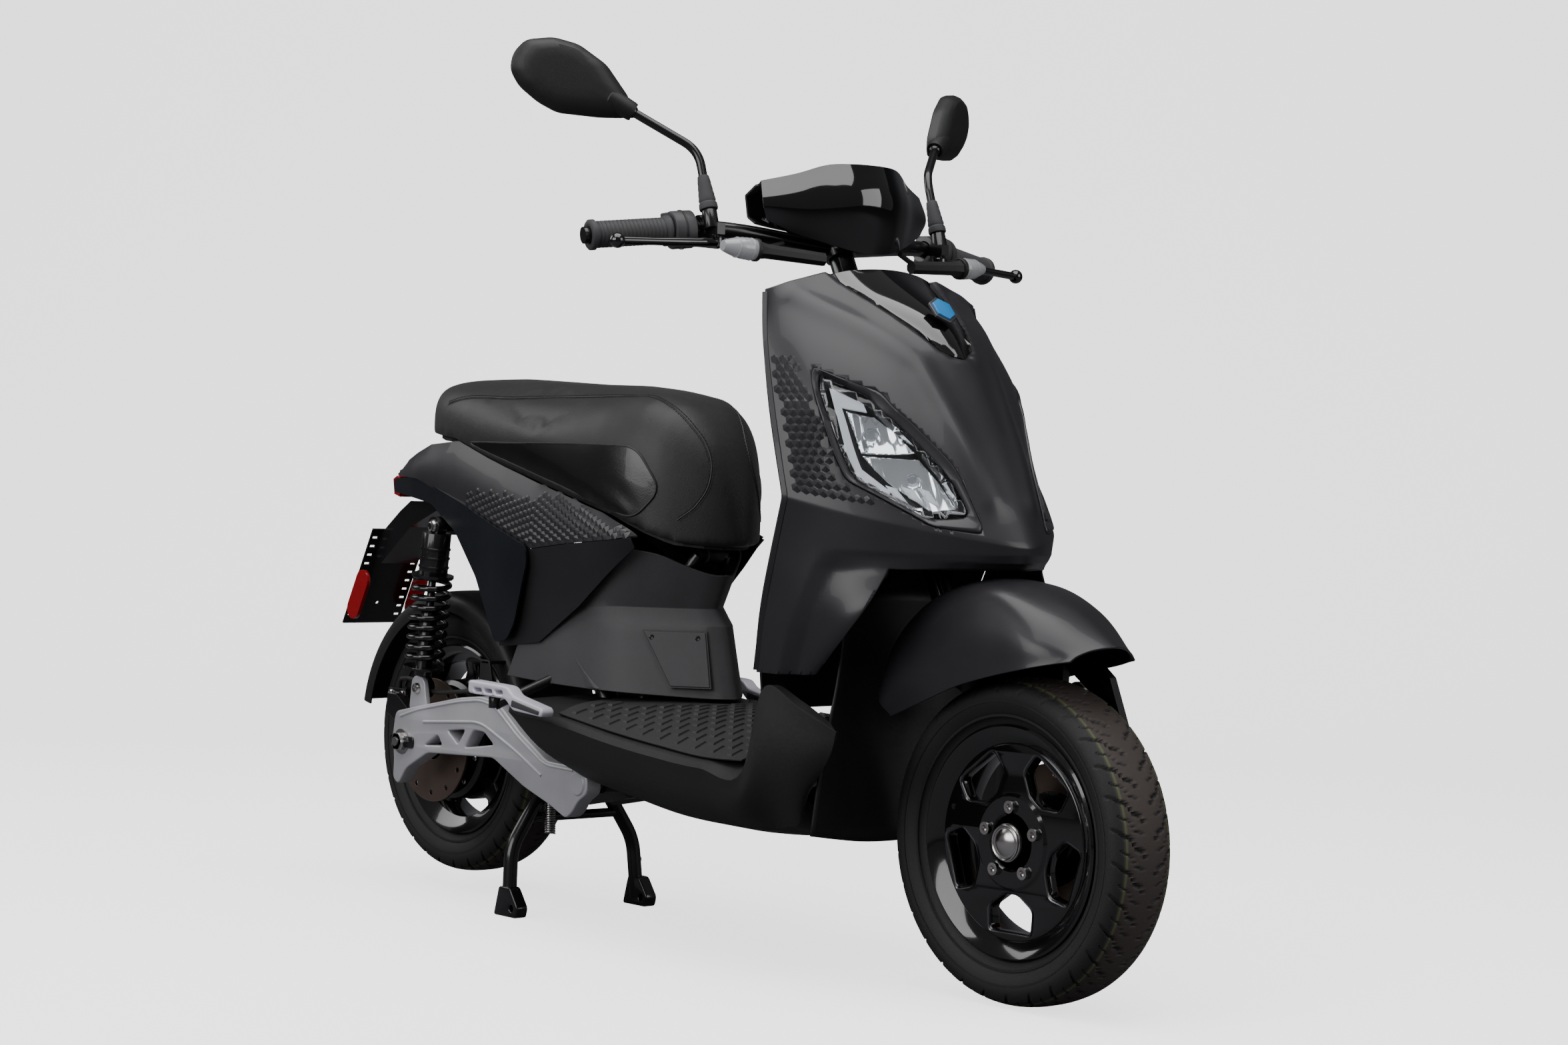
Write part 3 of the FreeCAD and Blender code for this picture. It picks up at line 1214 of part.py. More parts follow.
def make_mirror_head(name, side):
    """Teardrop shell with a bevelled back, a flat face for the glass and a socket for the stem's ball."""
    out = on_side(MIRROR_OUT, side)
    back = Vector(0.851, 0.525 * side, 0)
    centre = on_side(MIRROR_NECK, side)
    half = dim("mirror_thickness") / 2
    middle_u, middle_v = MIRROR_MIDDLE
    wires = []
    for depth, scale in ((-half, 1.0), (0, 1.0), (half * 0.7, 0.9), (half, 0.72)):
        ring = []
        for u, v in MIRROR_OUTLINE:
            along = middle_u + (u - middle_u) * scale
            rise = middle_v + (v - middle_v) * scale
            ring.append(centre + out * along + UP * rise + back * depth)
        wires.append(Part.makePolygon(ring + [ring[0]]))
    shell = feature(name + "_shell", Part.makeLoft(wires, True, True))
    reach = on_side(MIRROR_NECK - MIRROR_ELBOW, side).normalize()
    collar = cone(name + "_collar", 12, 15, 34, centre - reach * 5, out * 0.75 + UP * 0.4)
    socket = ball(name + "_socket", "dims.mirror_ball_radius + dims.fit_clearance", centre)
    throat = cylinder(name + "_throat", "dims.mirror_stem_radius + 1.8", 30, centre, reach * -1)
    hollowed = cut(name + "_hollowed", fuse(name + "_solid", [shell, collar]), socket)
    return cut(name, hollowed, throat)


HEADSET_FRONT_ROWS = [
    [(812, 134, 1036), (826, 95, 1049), (838, 62, 1060), (847, 30, 1064), (850, 0, 1065)],
    [(828, 142, 1040), (850, 98, 1052), (872, 62, 1065), (890, 30, 1067), (896, 0, 1067)],
    [(838, 146, 1012), (864, 98, 1018), (888, 62, 1021), (904, 30, 1022), (909, 0, 1022)],
    [(836, 138, 988), (858, 96, 970), (876, 62, 960), (888, 30, 952), (893, 0, 950)],
    [(818, 132, 990), (834, 96, 974), (848, 62, 964), (856, 30, 957), (860, 0, 955)],
]


def make_headset_front():
    return feature("headset_front", sheet_solid(symmetric_grid(HEADSET_FRONT_ROWS), 3))


def make_headset_rear():
    rows = [
        [(806, 132, 1034), (820, 95, 1046), (832, 62, 1056), (840, 30, 1060), (843, 0, 1061)],
        [(772, 120, 1024), (764, 84, 1036), (758, 42, 1042), (755, 20, 1044), (754, 0, 1044)],
        [(768, 112, 998), (757, 78, 996), (750, 40, 994), (747, 20, 993), (746, 0, 993)],
        [(776, 106, 990), (768, 74, 988), (762, 38, 986), (760, 20, 985), (759, 0, 985)],
    ]
    return feature("headset_rear", sheet_solid(symmetric_grid(rows), -3))


def make_indicators():
    parts = []
    for side in (-1, 1):
        name = "indicator%+d" % side
        stalk = [on_side(Vector(884, 78, 938), side), on_side(Vector(869, 182, 944), side)]
        tube = rod(name + "_stalk", 9, *stalk)
        out = (stalk[1] - stalk[0])
        out = out / out.Length
        lens_in = cone(name + "_lens_in", 9, 15, 20, stalk[1], out)
        lens_out = cone(name + "_lens_out", 15, 6, 32, stalk[1] + out * 20, out)
        parts.append(fuse(name, [tube, lens_in, lens_out]))
    return group("front_indicators", parts)


# ---------------------------------------------------------------- sub-parts and their files
REAR_AXLE = Vector(0, 0, REAR_AXLE_Z)
FRONT_AXLE = Vector(WHEELBASE, 0, TYRE_R)

SUB_PARTS = {
    "main_frame": make_main_frame(),
    "front_shield": make_front_shield(),
    "inner_shield": make_inner_shield(),
    "centre_panel": group("centre_panel_set", [make_centre_panel(), make_badge()]),
    "headlight_housings": make_lamp_housings(),
    "headlight_lenses": make_lamp_lenses(),
    "wheel_arch_liner": make_arch_liner(),
    "floorboard": make_floorboard(),
    "floor_mat": make_floor_mat(),
    "under_seat_cover": make_under_seat_cover(),
    "access_hatch": make_access_hatch(),
    "side_panels": group("side_panel_pair", [make_side_panel(-1), make_side_panel(1)]),
    "outer_panels": group("outer_panel_pair", [make_outer_panel(-1), make_outer_panel(1)]),
    "tail_cover": make_tail_cover(),
    "tail_light": make_tail_light(),
    "plate_bracket": make_plate_bracket(),
    "side_reflectors": make_reflectors(),
    "battery": make_battery(),
    "seat_cushion": make_seat_cushion(),
    "seat_base": make_seat_base(),
    "swingarm": make_swingarm(),
    "rear_hugger": make_rear_hugger(),
    "rear_caliper": make_rear_caliper(),
    "rear_axle": make_rear_axle(),
    "rear_hub_motor": make_rear_wheel(),
    "rear_tyre": make_tyre("rear_tyre_body", REAR_AXLE),
    "rear_brake_disc": make_disc("rear_disc_body", REAR_AXLE, -81, 30),
    "rear_shock_uppers": make_rear_shock_uppers(),
    "rear_shock_lowers": make_rear_shock_lowers(),
    "rear_springs": make_rear_springs(),
    "centre_stand": make_centre_stand(),
    "passenger_peg_right": make_peg(-1),
    "passenger_peg_left": make_peg(1),
    "steering_stem": make_steering_stem(),
    "front_fender": make_front_fender(),
    "front_arm": make_front_arm(),
    "front_shock_upper": make_shock_upper("front_shock_top", FRONT_SHOCK_TOP, FRONT_SHOCK_BOTTOM, FRONT_SHROUD),
    "front_shock_lower": make_shock_lower("front_shock_base", FRONT_SHOCK_TOP, FRONT_SHOCK_BOTTOM, FRONT_SHROUD,
                                          FRONT_STROKE),
    "front_spring": make_spring("front_coil", FRONT_SHOCK_TOP, FRONT_SHOCK_BOTTOM, 39, 56),
    "front_rim": make_front_wheel(),
    "front_tyre": make_tyre("front_tyre_body", FRONT_AXLE),
    "front_brake_disc": make_disc("front_disc_body", FRONT_AXLE, 44, 30),
    "wheel_fasteners": group("wheel_fastener_set", make_wheel_bolts() + [make_hub_cap()]),
    "handlebar": make_handlebar(),
    "headset_front": make_headset_front(),
    "headset_rear": make_headset_rear(),
    "front_indicators": make_indicators(),
    "switch_pods": make_control_pods(),
    "lever_perches": make_lever_perches(),
    "grip_left": make_grip("left_grip", 1),
    "throttle_grip": make_grip("right_grip", -1),
    "brake_lever_right": make_lever(-1),
    "brake_lever_left": make_lever(1),
    "mirror_stem_right": make_mirror_stem(-1),
    "mirror_stem_left": make_mirror_stem(1),
    "mirror_head_right": make_mirror_head("right_mirror", -1),
    "mirror_head_left": make_mirror_head("left_mirror", 1),
    "start_button": make_button("start_button"),
    "horn_button": make_button("horn_button"),
    "turn_switch": make_button("turn_switch"),
}

to_row_frame = Placement(Vector(-CENTRE_X, 0, 0), Rotation())
for node, part in SUB_PARTS.items():
    part.Placement = to_row_frame.multiply(part.Placement)
    part.Label = node
doc.recompute()

failed = [obj.Name for obj in doc.Objects if "Invalid" in obj.State or "Error" in obj.State]
assert not failed, "objects that failed: %s" % failed
for node, part in SUB_PARTS.items():
    shape = part.Shape
    assert not shape.isNull() and shape.isValid() and shape.Solids, "bad shape: " + node

os.makedirs("parts", exist_ok=True)
for node, part in SUB_PARTS.items():
    part.Shape.exportStep("parts/%s.step" % node)
print("wrote %d sub-parts" % len(SUB_PARTS))
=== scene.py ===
import json
import math

import bmesh
import bpy
import numpy as np
from mathutils import Matrix, Vector
from mathutils.bvhtree import BVHTree
from mathutils.geometry import delaunay_2d_cdt


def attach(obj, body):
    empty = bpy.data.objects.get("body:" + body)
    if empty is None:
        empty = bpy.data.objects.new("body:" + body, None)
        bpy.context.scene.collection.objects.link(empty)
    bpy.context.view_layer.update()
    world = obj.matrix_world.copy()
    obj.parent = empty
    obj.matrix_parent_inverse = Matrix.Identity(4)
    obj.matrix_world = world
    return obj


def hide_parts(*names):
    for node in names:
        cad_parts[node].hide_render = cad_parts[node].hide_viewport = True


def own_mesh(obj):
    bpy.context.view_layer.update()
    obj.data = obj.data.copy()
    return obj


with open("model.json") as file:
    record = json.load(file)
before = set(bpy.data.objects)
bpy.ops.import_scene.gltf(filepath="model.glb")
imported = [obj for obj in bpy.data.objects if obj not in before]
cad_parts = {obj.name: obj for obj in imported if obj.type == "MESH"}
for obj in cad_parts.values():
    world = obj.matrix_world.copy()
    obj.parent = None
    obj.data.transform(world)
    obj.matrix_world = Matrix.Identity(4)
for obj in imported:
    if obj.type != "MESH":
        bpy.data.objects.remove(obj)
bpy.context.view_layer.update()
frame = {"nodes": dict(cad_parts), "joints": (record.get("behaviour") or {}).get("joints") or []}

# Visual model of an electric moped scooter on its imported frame. Shapes are given in millimetres,
# with x from the rear axle forwards, y to the rider's left and z up from the ground.

JOINTS = {joint["name"]: joint for joint in frame["joints"]}
REAR_AXLE_X = JOINTS["rear_wheel_spin"]["pos_m"][0]
REAR_AXLE = (0, 0, JOINTS["rear_wheel_spin"]["pos_m"][2] * 1000)
FRONT_AXLE = ((JOINTS["front_wheel_spin"]["pos_m"][0] - REAR_AXLE_X) * 1000, 0,
              JOINTS["front_wheel_spin"]["pos_m"][2] * 1000)


def at(x, y, z):
    return Vector((REAR_AXLE_X + x * 0.001, y * 0.001, z * 0.001))


def sided(point, side):
    return (point[0], point[1] * side, point[2])


# ---------------------------------------------------------------- materials
def material(name, colour, rough, metallic=0.0, coat=0.0, grain=0.0, grain_scale=900.0, tint=0.12,
             tint_scale=9.0, clear=0.0, glow=0.0, wear=0.06, sheen=0.0):
    """Principled surface with noise in its colour, roughness and relief."""
    mat = bpy.data.materials.new(name)
    mat.use_nodes = True
    nodes, links = mat.node_tree.nodes, mat.node_tree.links
    bsdf = nodes["Principled BSDF"]
    coord = nodes.new("ShaderNodeTexCoord")
    cloud = nodes.new("ShaderNodeTexNoise")
    cloud.inputs["Scale"].default_value = tint_scale
    cloud.inputs["Detail"].default_value = 5
    links.new(coord.outputs["Object"], cloud.inputs["Vector"])
    ramp = nodes.new("ShaderNodeValToRGB")
    ramp.color_ramp.elements[0].position = 0.3
    ramp.color_ramp.elements[1].position = 0.7
    ramp.color_ramp.elements[0].color = [c * (1 - tint) for c in colour] + [1]
    ramp.color_ramp.elements[1].color = [min(1, c * (1 + tint)) for c in colour] + [1]
    links.new(cloud.outputs["Fac"], ramp.inputs["Fac"])
    links.new(ramp.outputs["Color"], bsdf.inputs["Base Color"])
    spread = nodes.new("ShaderNodeMapRange")
    spread.inputs["To Min"].default_value = max(0.02, rough - wear)
    spread.inputs["To Max"].default_value = min(1, rough + wear)
    links.new(cloud.outputs["Fac"], spread.inputs["Value"])
    links.new(spread.outputs["Result"], bsdf.inputs["Roughness"])
    fine = nodes.new("ShaderNodeTexNoise")
    fine.inputs["Scale"].default_value = grain_scale
    fine.inputs["Detail"].default_value = 3
    links.new(coord.outputs["Object"], fine.inputs["Vector"])
    bump = nodes.new("ShaderNodeBump")
    bump.inputs["Strength"].default_value = grain
    bump.inputs["Distance"].default_value = 0.0006
    links.new(fine.outputs["Fac"], bump.inputs["Height"])
    links.new(bump.outputs["Normal"], bsdf.inputs["Normal"])
    bsdf.inputs["Metallic"].default_value = metallic
    bsdf.inputs["Coat Weight"].default_value = coat
    bsdf.inputs["Coat Roughness"].default_value = 0.04
    bsdf.inputs["Transmission Weight"].default_value = clear
    bsdf.inputs["Sheen Weight"].default_value = sheen
    if glow:
        links.new(ramp.outputs["Color"], bsdf.inputs["Emission Color"])
        bsdf.inputs["Emission Strength"].default_value = glow
    return mat


PAINT = material("paint_satin", (0.021, 0.019, 0.023), 0.36, coat=0.12, grain=0.03, tint=0.1)
# Darker copy of the satin body paint: painted shade, used for the hatch gap, the seat seam grooves and the
# downward-facing side facet.
PAINT_SHADE = material("paint_painted_shade", (0.013, 0.0125, 0.0145), 0.4, grain=0.03)
TAIL_PAINT = material("paint_tail", (0.0065, 0.0085, 0.012), 0.34, grain=0.02)
GLOSS = material("gloss_black", (0.0035, 0.0035, 0.004), 0.07, coat=1.0, grain=0.0, wear=0.02)
GREY_PLASTIC = material("grey_plastic", (0.048, 0.046, 0.050), 0.5, grain=0.35, grain_scale=1600)
DARK_PLASTIC = material("dark_plastic", (0.0085, 0.0085, 0.009), 0.5, grain=0.3, grain_scale=1500)
MAT_RUBBER = material("mat_rubber", (0.026, 0.025, 0.027), 0.62, grain=0.5, grain_scale=700)
VINYL = material("seat_vinyl", (0.017, 0.0162, 0.0168), 0.46, grain=0.55, grain_scale=620, sheen=0.05)
VINYL_GLOSS = material("seat_vinyl_gloss", (0.006, 0.006, 0.0065), 0.24, coat=0.25, grain=0.2, grain_scale=500)
THREAD = material("seat_thread", (0.03, 0.028, 0.028), 0.6, grain=0.4)
FRAME_PAINT = material("frame_paint", (0.008, 0.008, 0.009), 0.3, coat=0.3, grain=0.05)
BLACK_METAL = material("black_metal", (0.007, 0.007, 0.008), 0.24, coat=0.35, grain=0.04)
SPRING_PAINT = material("spring_paint", (0.006, 0.006, 0.007), 0.16, coat=0.6, grain=0.02)
CAST_SILVER = material("cast_silver", (0.50, 0.50, 0.53), 0.42, metallic=0.35, grain=0.12, grain_scale=1800)
PEG_WHITE = material("peg_paint", (0.66, 0.64, 0.72), 0.38, metallic=0.1, grain=0.08)
WHEEL_BLACK = material("wheel_black", (0.004, 0.004, 0.0045), 0.12, coat=0.8, grain=0.01)
WHEEL_BEVEL = material("wheel_bevel", (0.16, 0.16, 0.18), 0.26, metallic=0.7, grain=0.03)
RUBBER = material("tyre_rubber", (0.012, 0.0115, 0.0115), 0.66, grain=0.5, grain_scale=800)
GRIP_RUBBER = material("grip_rubber", (0.045, 0.045, 0.048), 0.62, grain=0.4, grain_scale=1200)
DISC_STEEL = material("disc_steel", (0.23, 0.17, 0.14), 0.35, metallic=0.9, grain=0.1, grain_scale=2500)
BRIGHT = material("bright_steel", (0.55, 0.53, 0.52), 0.22, metallic=1.0, grain=0.04, grain_scale=2200)
# Chrome with a faint glow of its own colour: a painted reflection on the headlamp reflector cells and the mirror glass.
CHROME_PAINTED_REFLECTION = material("lamp_chrome_painted_reflection", (0.86, 0.88, 0.92), 0.1, metallic=0.95, grain=0.0, glow=0.12)
LAMP_DARK = material("lamp_dark", (0.012, 0.012, 0.014), 0.15, coat=0.7)
GUIDE = material("lamp_guide", (0.78, 0.80, 0.84), 0.3, grain=0.05, glow=0.35)
LENS = material("lamp_clear", (0.95, 0.97, 1.0), 0.03, clear=1.0, tint=0.01, wear=0.01)
SIGNAL = material("signal_lens", (0.50, 0.51, 0.53), 0.14, coat=0.6, clear=0.35, glow=0.05)
RED = material("reflector_red", (0.30, 0.006, 0.010), 0.2, coat=0.6, grain=0.5, grain_scale=420)
BLUE = material("badge_blue", (0.02, 0.25, 0.62), 0.25, coat=0.7)
BADGE_GREY = material("badge_grey", (0.12, 0.12, 0.13), 0.3, metallic=0.6)


def tyre_material():
    """Rubber that is browner on the crown, with a faint green moulding line."""
    mat = RUBBER.copy()
    mat.name = "tyre_worn"
    nodes, links = mat.node_tree.nodes, mat.node_tree.links
    bsdf = nodes["Principled BSDF"]
    tone = nodes.new("ShaderNodeAttribute")
    tone.attribute_name = "crown"
    line = nodes.new("ShaderNodeAttribute")
    line.attribute_name = "line"
    base = bsdf.inputs["Base Color"].links[0].from_socket
    worn = nodes.new("ShaderNodeMix")
    worn.data_type = "RGBA"
    links.new(tone.outputs["Fac"], worn.inputs["Factor"])
    links.new(base, worn.inputs["A"])
    worn.inputs["B"].default_value = (0.060, 0.044, 0.038, 1)
    green = nodes.new("ShaderNodeMix")
    green.data_type = "RGBA"
    links.new(line.outputs["Fac"], green.inputs["Factor"])
    links.new(worn.outputs["Result"], green.inputs["A"])
    green.inputs["B"].default_value = (0.10, 0.13, 0.045, 1)
    links.new(green.outputs["Result"], bsdf.inputs["Base Color"])
    return mat


TYRE_WORN = tyre_material()


# ---------------------------------------------------------------- building blocks
def piece(obj, mat, body, angle=32, replaces=(), slot=None):
    """Gives a finished mesh its material, shading and CAD body."""
    obj.data.materials.clear()
    obj.data.materials.append(mat)
    obj.data.polygons.foreach_set("use_smooth", [True] * len(obj.data.polygons))
    obj.data.set_sharp_from_angle(angle=math.radians(angle))
    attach(obj, body)
    if replaces:
        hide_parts(*replaces)
    return obj


def from_data(name, points, faces, mat, body, **options):
    """Mesh object from points in millimetres on the scooter."""
    mesh = bpy.data.meshes.new(name)
    mesh.from_pydata([at(*p) for p in points], [], [list(map(int, f)) for f in faces])
    mesh.update()
    obj = bpy.data.objects.new(name, mesh)
    bpy.context.scene.collection.objects.link(obj)
    tidy_mesh(obj)
    return piece(obj, mat, body, **options)


def tidy_mesh(obj):
    work = bmesh.new()
    work.from_mesh(obj.data)
    bmesh.ops.remove_doubles(work, verts=work.verts, dist=1e-6)
    bmesh.ops.recalc_face_normals(work, faces=work.faces)
    work.to_mesh(obj.data)
    work.free()


def thicken(obj, amount, offset=-1.0, bevel=0.0):
    """Turns a sheet into a closed shell, inwards for offset -1."""
    shell = obj.modifiers.new("shell", "SOLIDIFY")
    shell.thickness = amount * 0.001
    shell.offset = offset
    shell.use_even_offset = False
    if bevel:
        soften(obj, bevel)
    return obj


def soften(obj, width, segments=2, angle=35):
    edge = obj.modifiers.new("edge", "BEVEL")
    edge.width = width * 0.001
    edge.segments = segments
    edge.limit_method = "ANGLE"
    edge.angle_limit = math.radians(angle)
    edge.harden_normals = True
    return obj


def spline(points, steps, sharp=()):
    """Smooth curve family through points[i]; the direction may break at the sharp rows."""
    p = np.asarray(points, float)
    count = len(p)
    gaps = [max(1e-6, float(np.mean(np.linalg.norm((p[i + 1] - p[i]).reshape(-1, 3), axis=1))))
            for i in range(count - 1)]
    slope = [(p[i + 1] - p[i]) / gaps[i] for i in range(count - 1)]
    after, before = [None] * count, [None] * count
    for i in range(count):
        if i in (0, count - 1) or i in sharp:
            after[i] = slope[min(i, count - 2)]
            before[i] = slope[max(i - 1, 0)]
        else:
            w = gaps[i] / (gaps[i] + gaps[i - 1])
            after[i] = before[i] = slope[i - 1] * w + slope[i] * (1 - w)
    out = []
    for i in range(count - 1):
        h = gaps[i]
        for k in range(steps):
            u = k / steps
            out.append(p[i] * (2 * u**3 - 3 * u**2 + 1) + after[i] * h * (u**3 - 2 * u**2 + u)
                       + p[i + 1] * (3 * u**2 - 2 * u**3) + before[i + 1] * h * (u**3 - u**2))
    out.append(p[-1])
    return np.array(out)


def whole(rows):
    """Adds the other half of rows that run from the left side to the middle."""
    return [list(row) + [(x, -y, z) for x, y, z in reversed(row[:-1])] for row in rows]


def net(rows, along=8, across=8, sharp_rows=(), sharp_columns=()):
    grid = spline(np.array(rows, float), along, sharp_rows)
    return spline(grid.transpose(1, 0, 2), across, sharp_columns).transpose(1, 0, 2)


def grid_faces(rows, columns, closed=False):
    faces = []
    for i in range(rows - 1):
        for j in range(columns if closed else columns - 1):
            k = (j + 1) % columns
            faces.append((i * columns + j, i * columns + k, (i + 1) * columns + k, (i + 1) * columns + j))
    return faces


def sheet(name, grid, mat, body, thick=3.0, offset=-1.0, bevel=0.0, **options):
    rows, columns = grid.shape[:2]
    obj = from_data(name, grid.reshape(-1, 3), grid_faces(rows, columns), mat, body, **options)
    if thick:
        thicken(obj, thick, offset, bevel)
    return obj


def lathe(name, profile, centre, mat, body, axis=(0, 1, 0), segments=96, **options):
    """Closed profile of radius and height pairs turned about an axis through centre."""
    axis = Vector(axis).normalized()
    first = axis.orthogonal().normalized()
    second = axis.cross(first)
    points = []
    for k in range(segments):
        angle = 2 * math.pi * k / segments
        spoke = first * math.cos(angle) + second * math.sin(angle)
        for radius, height in profile:
            points.append(Vector(centre) + spoke * radius + axis * height)
    count = len(profile)
    faces = []
    for k in range(segments):
        n = (k + 1) % segments
        for j in range(count):
            m = (j + 1) % count
            faces.append((k * count + j, k * count + m, n * count + m, n * count + j))
    return from_data(name, points, faces, mat, body, **options)


def fillet(points, radius, steps=5):
    """Rounds the inner corners of a path, or every corner when it is a closed outline of pairs."""
    closed = len(points[0]) == 2
    p = [Vector(q) if not closed else Vector((q[0], q[1], 0)) for q in points]
    out = [] if closed else [p[0]]
    for i in (range(len(p)) if closed else range(1, len(p) - 1)):
        a, b, c = p[i - 1], p[i], p[(i + 1) % len(p)]
        r = min(radius, (a - b).length * 0.45, (c - b).length * 0.45)
        start, end = b + (a - b).normalized() * r, b + (c - b).normalized() * r
        for k in range(steps + 1):
            u = k / steps
            out.append(start * (1 - u) ** 2 + b * 2 * u * (1 - u) + end * u**2)
    if not closed:
        out.append(p[-1])
        return out
    return [(q.x, q.y) for q in out]


def tube(name, path, radius, mat, body, bend=20, segments=20, taper=None, **options):
    """Round tube along a path with rounded bends; taper gives radii along it."""
    line = fillet(path, bend, 7) if bend and len(path) > 2 else [Vector(q) for q in path]
    count = len(line)
    up = None
    points = []
    for i, q in enumerate(line):
        ahead = (line[min(i + 1, count - 1)] - line[max(i - 1, 0)]).normalized()
        up = ahead.orthogonal().normalized() if up is None else (up - ahead * up.dot(ahead)).normalized()
        right = ahead.cross(up)
        share = i / (count - 1)
        size = radius if taper is None else float(np.interp(share, [t[0] for t in taper], [t[1] for t in taper]))
        for k in range(segments):
            angle = 2 * math.pi * k / segments
            points.append(q + (up * math.cos(angle) + right * math.sin(angle)) * size)
    faces = grid_faces(count, segments, closed=True)
    faces.append(list(range(segments))[::-1])
    faces.append([(count - 1) * segments + k for k in range(segments)])
    return from_data(name, points, faces, mat, body, **options)


def plate(name, outline, holes, depth, mat, body, bevel=1.5, origin=(0, 0, 0), u=(1, 0, 0), v=(0, 0, 1),
          segments=2, **options):
    """Flat plate with openings: outline pairs lie in the u, v plane and depth runs along u x v."""
    curve = bpy.data.curves.new(name + "_curve", "CURVE")
    curve.dimensions = "2D"
    curve.fill_mode = "BOTH"
    curve.extrude = max(0.01, depth / 2 - bevel)
    curve.bevel_depth = bevel
    curve.bevel_resolution = segments
    curve.offset = -bevel
    for ring in [outline] + list(holes):
        line = curve.splines.new("POLY")
        line.points.add(len(ring) - 1)
        for point, (a, b) in zip(line.points, ring):
            point.co = (a, b, 0, 1)
        line.use_cyclic_u = True
    holder = bpy.data.objects.new(name + "_holder", curve)
    bpy.context.scene.collection.objects.link(holder)
    view = bpy.context.evaluated_depsgraph_get()
    mesh = bpy.data.meshes.new_from_object(holder.evaluated_get(view))
    bpy.data.objects.remove(holder)
    u, v = Vector(u).normalized(), Vector(v).normalized()
    n = u.cross(v)
    for vertex in mesh.vertices:
        a, b, c = vertex.co
        vertex.co = at(*(Vector(origin) + u * a + v * b + n * c))
    mesh.name = name
    obj = bpy.data.objects.new(name, mesh)
    bpy.context.scene.collection.objects.link(obj)
    tidy_mesh(obj)
    return piece(obj, mat, body, **options)


def block(name, size, centre, mat, body, bevel=2.0, turn=None, **options):
    turn = turn or Matrix.Identity(3)
    half = Vector(size) / 2
    corners = [Vector(centre) + turn @ Vector((half.x * a, half.y * b, half.z * c))
               for a in (-1, 1) for b in (-1, 1) for c in (-1, 1)]
    faces = [(0, 1, 3, 2), (4, 6, 7, 5), (0, 4, 5, 1), (2, 3, 7, 6), (0, 2, 6, 4), (1, 5, 7, 3)]
    obj = from_data(name, corners, faces, mat, body, **options)
    return soften(obj, bevel, 3) if bevel else obj


def disc_outline(radius, count=48, centre=(0, 0)):
    return [(centre[0] + radius * math.cos(2 * math.pi * k / count),
             centre[1] + radius * math.sin(2 * math.pi * k / count)) for k in range(count)]


def screw(name, centre, axis, radius, mat, body, height=3.0):
    """Button head with a round socket."""
    dome = [(0, height * 0.35), (radius * 0.45, height * 0.35), (radius * 0.5, height), (radius * 0.75, height * 0.9),
            (radius, height * 0.3), (radius, -1), (0, -1)]
    return lathe(name, dome, centre, mat, body, axis=axis, segments=24)


def coil(name, foot, axis, length, radius, wire, turns, mat, body, **options):
    path = []
    axis = Vector(axis).normalized()
    first = axis.orthogonal().normalized()
    second = axis.cross(first)
    count = int(turns * 28)
    for k in range(count + 1):
        share = k / count
        angle = 2 * math.pi * turns * share
        path.append(Vector(foot) + axis * (length * share) + (first * math.cos(angle) + second * math.sin(angle)) * radius)
    return tube(name, path, wire, mat, body, bend=0, segments=12, **options)


def compress(spring):
    """Gives a coil a mesh of its own."""
    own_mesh(spring)


def dress(node, mat, bevel=0.8, angle=30):
    """Shows a CAD node as it is, with welded and softened edges and a material."""
    obj = frame["nodes"][node]
    obj.data.materials.clear()
    obj.data.materials.append(mat)
    weld = obj.modifiers.new("weld", "WELD")
    weld.merge_threshold = 1e-5
    if bevel:
        soften(obj, bevel, 2, angle)
    return obj


def inside(poly, a, b):
    hit = False
    for i in range(len(poly)):
        (x0, y0), (x1, y1) = poly[i - 1], poly[i]
        if (y0 > b) != (y1 > b) and a < (x1 - x0) * (b - y0) / (y1 - y0) + x0:
            hit = not hit
    return hit


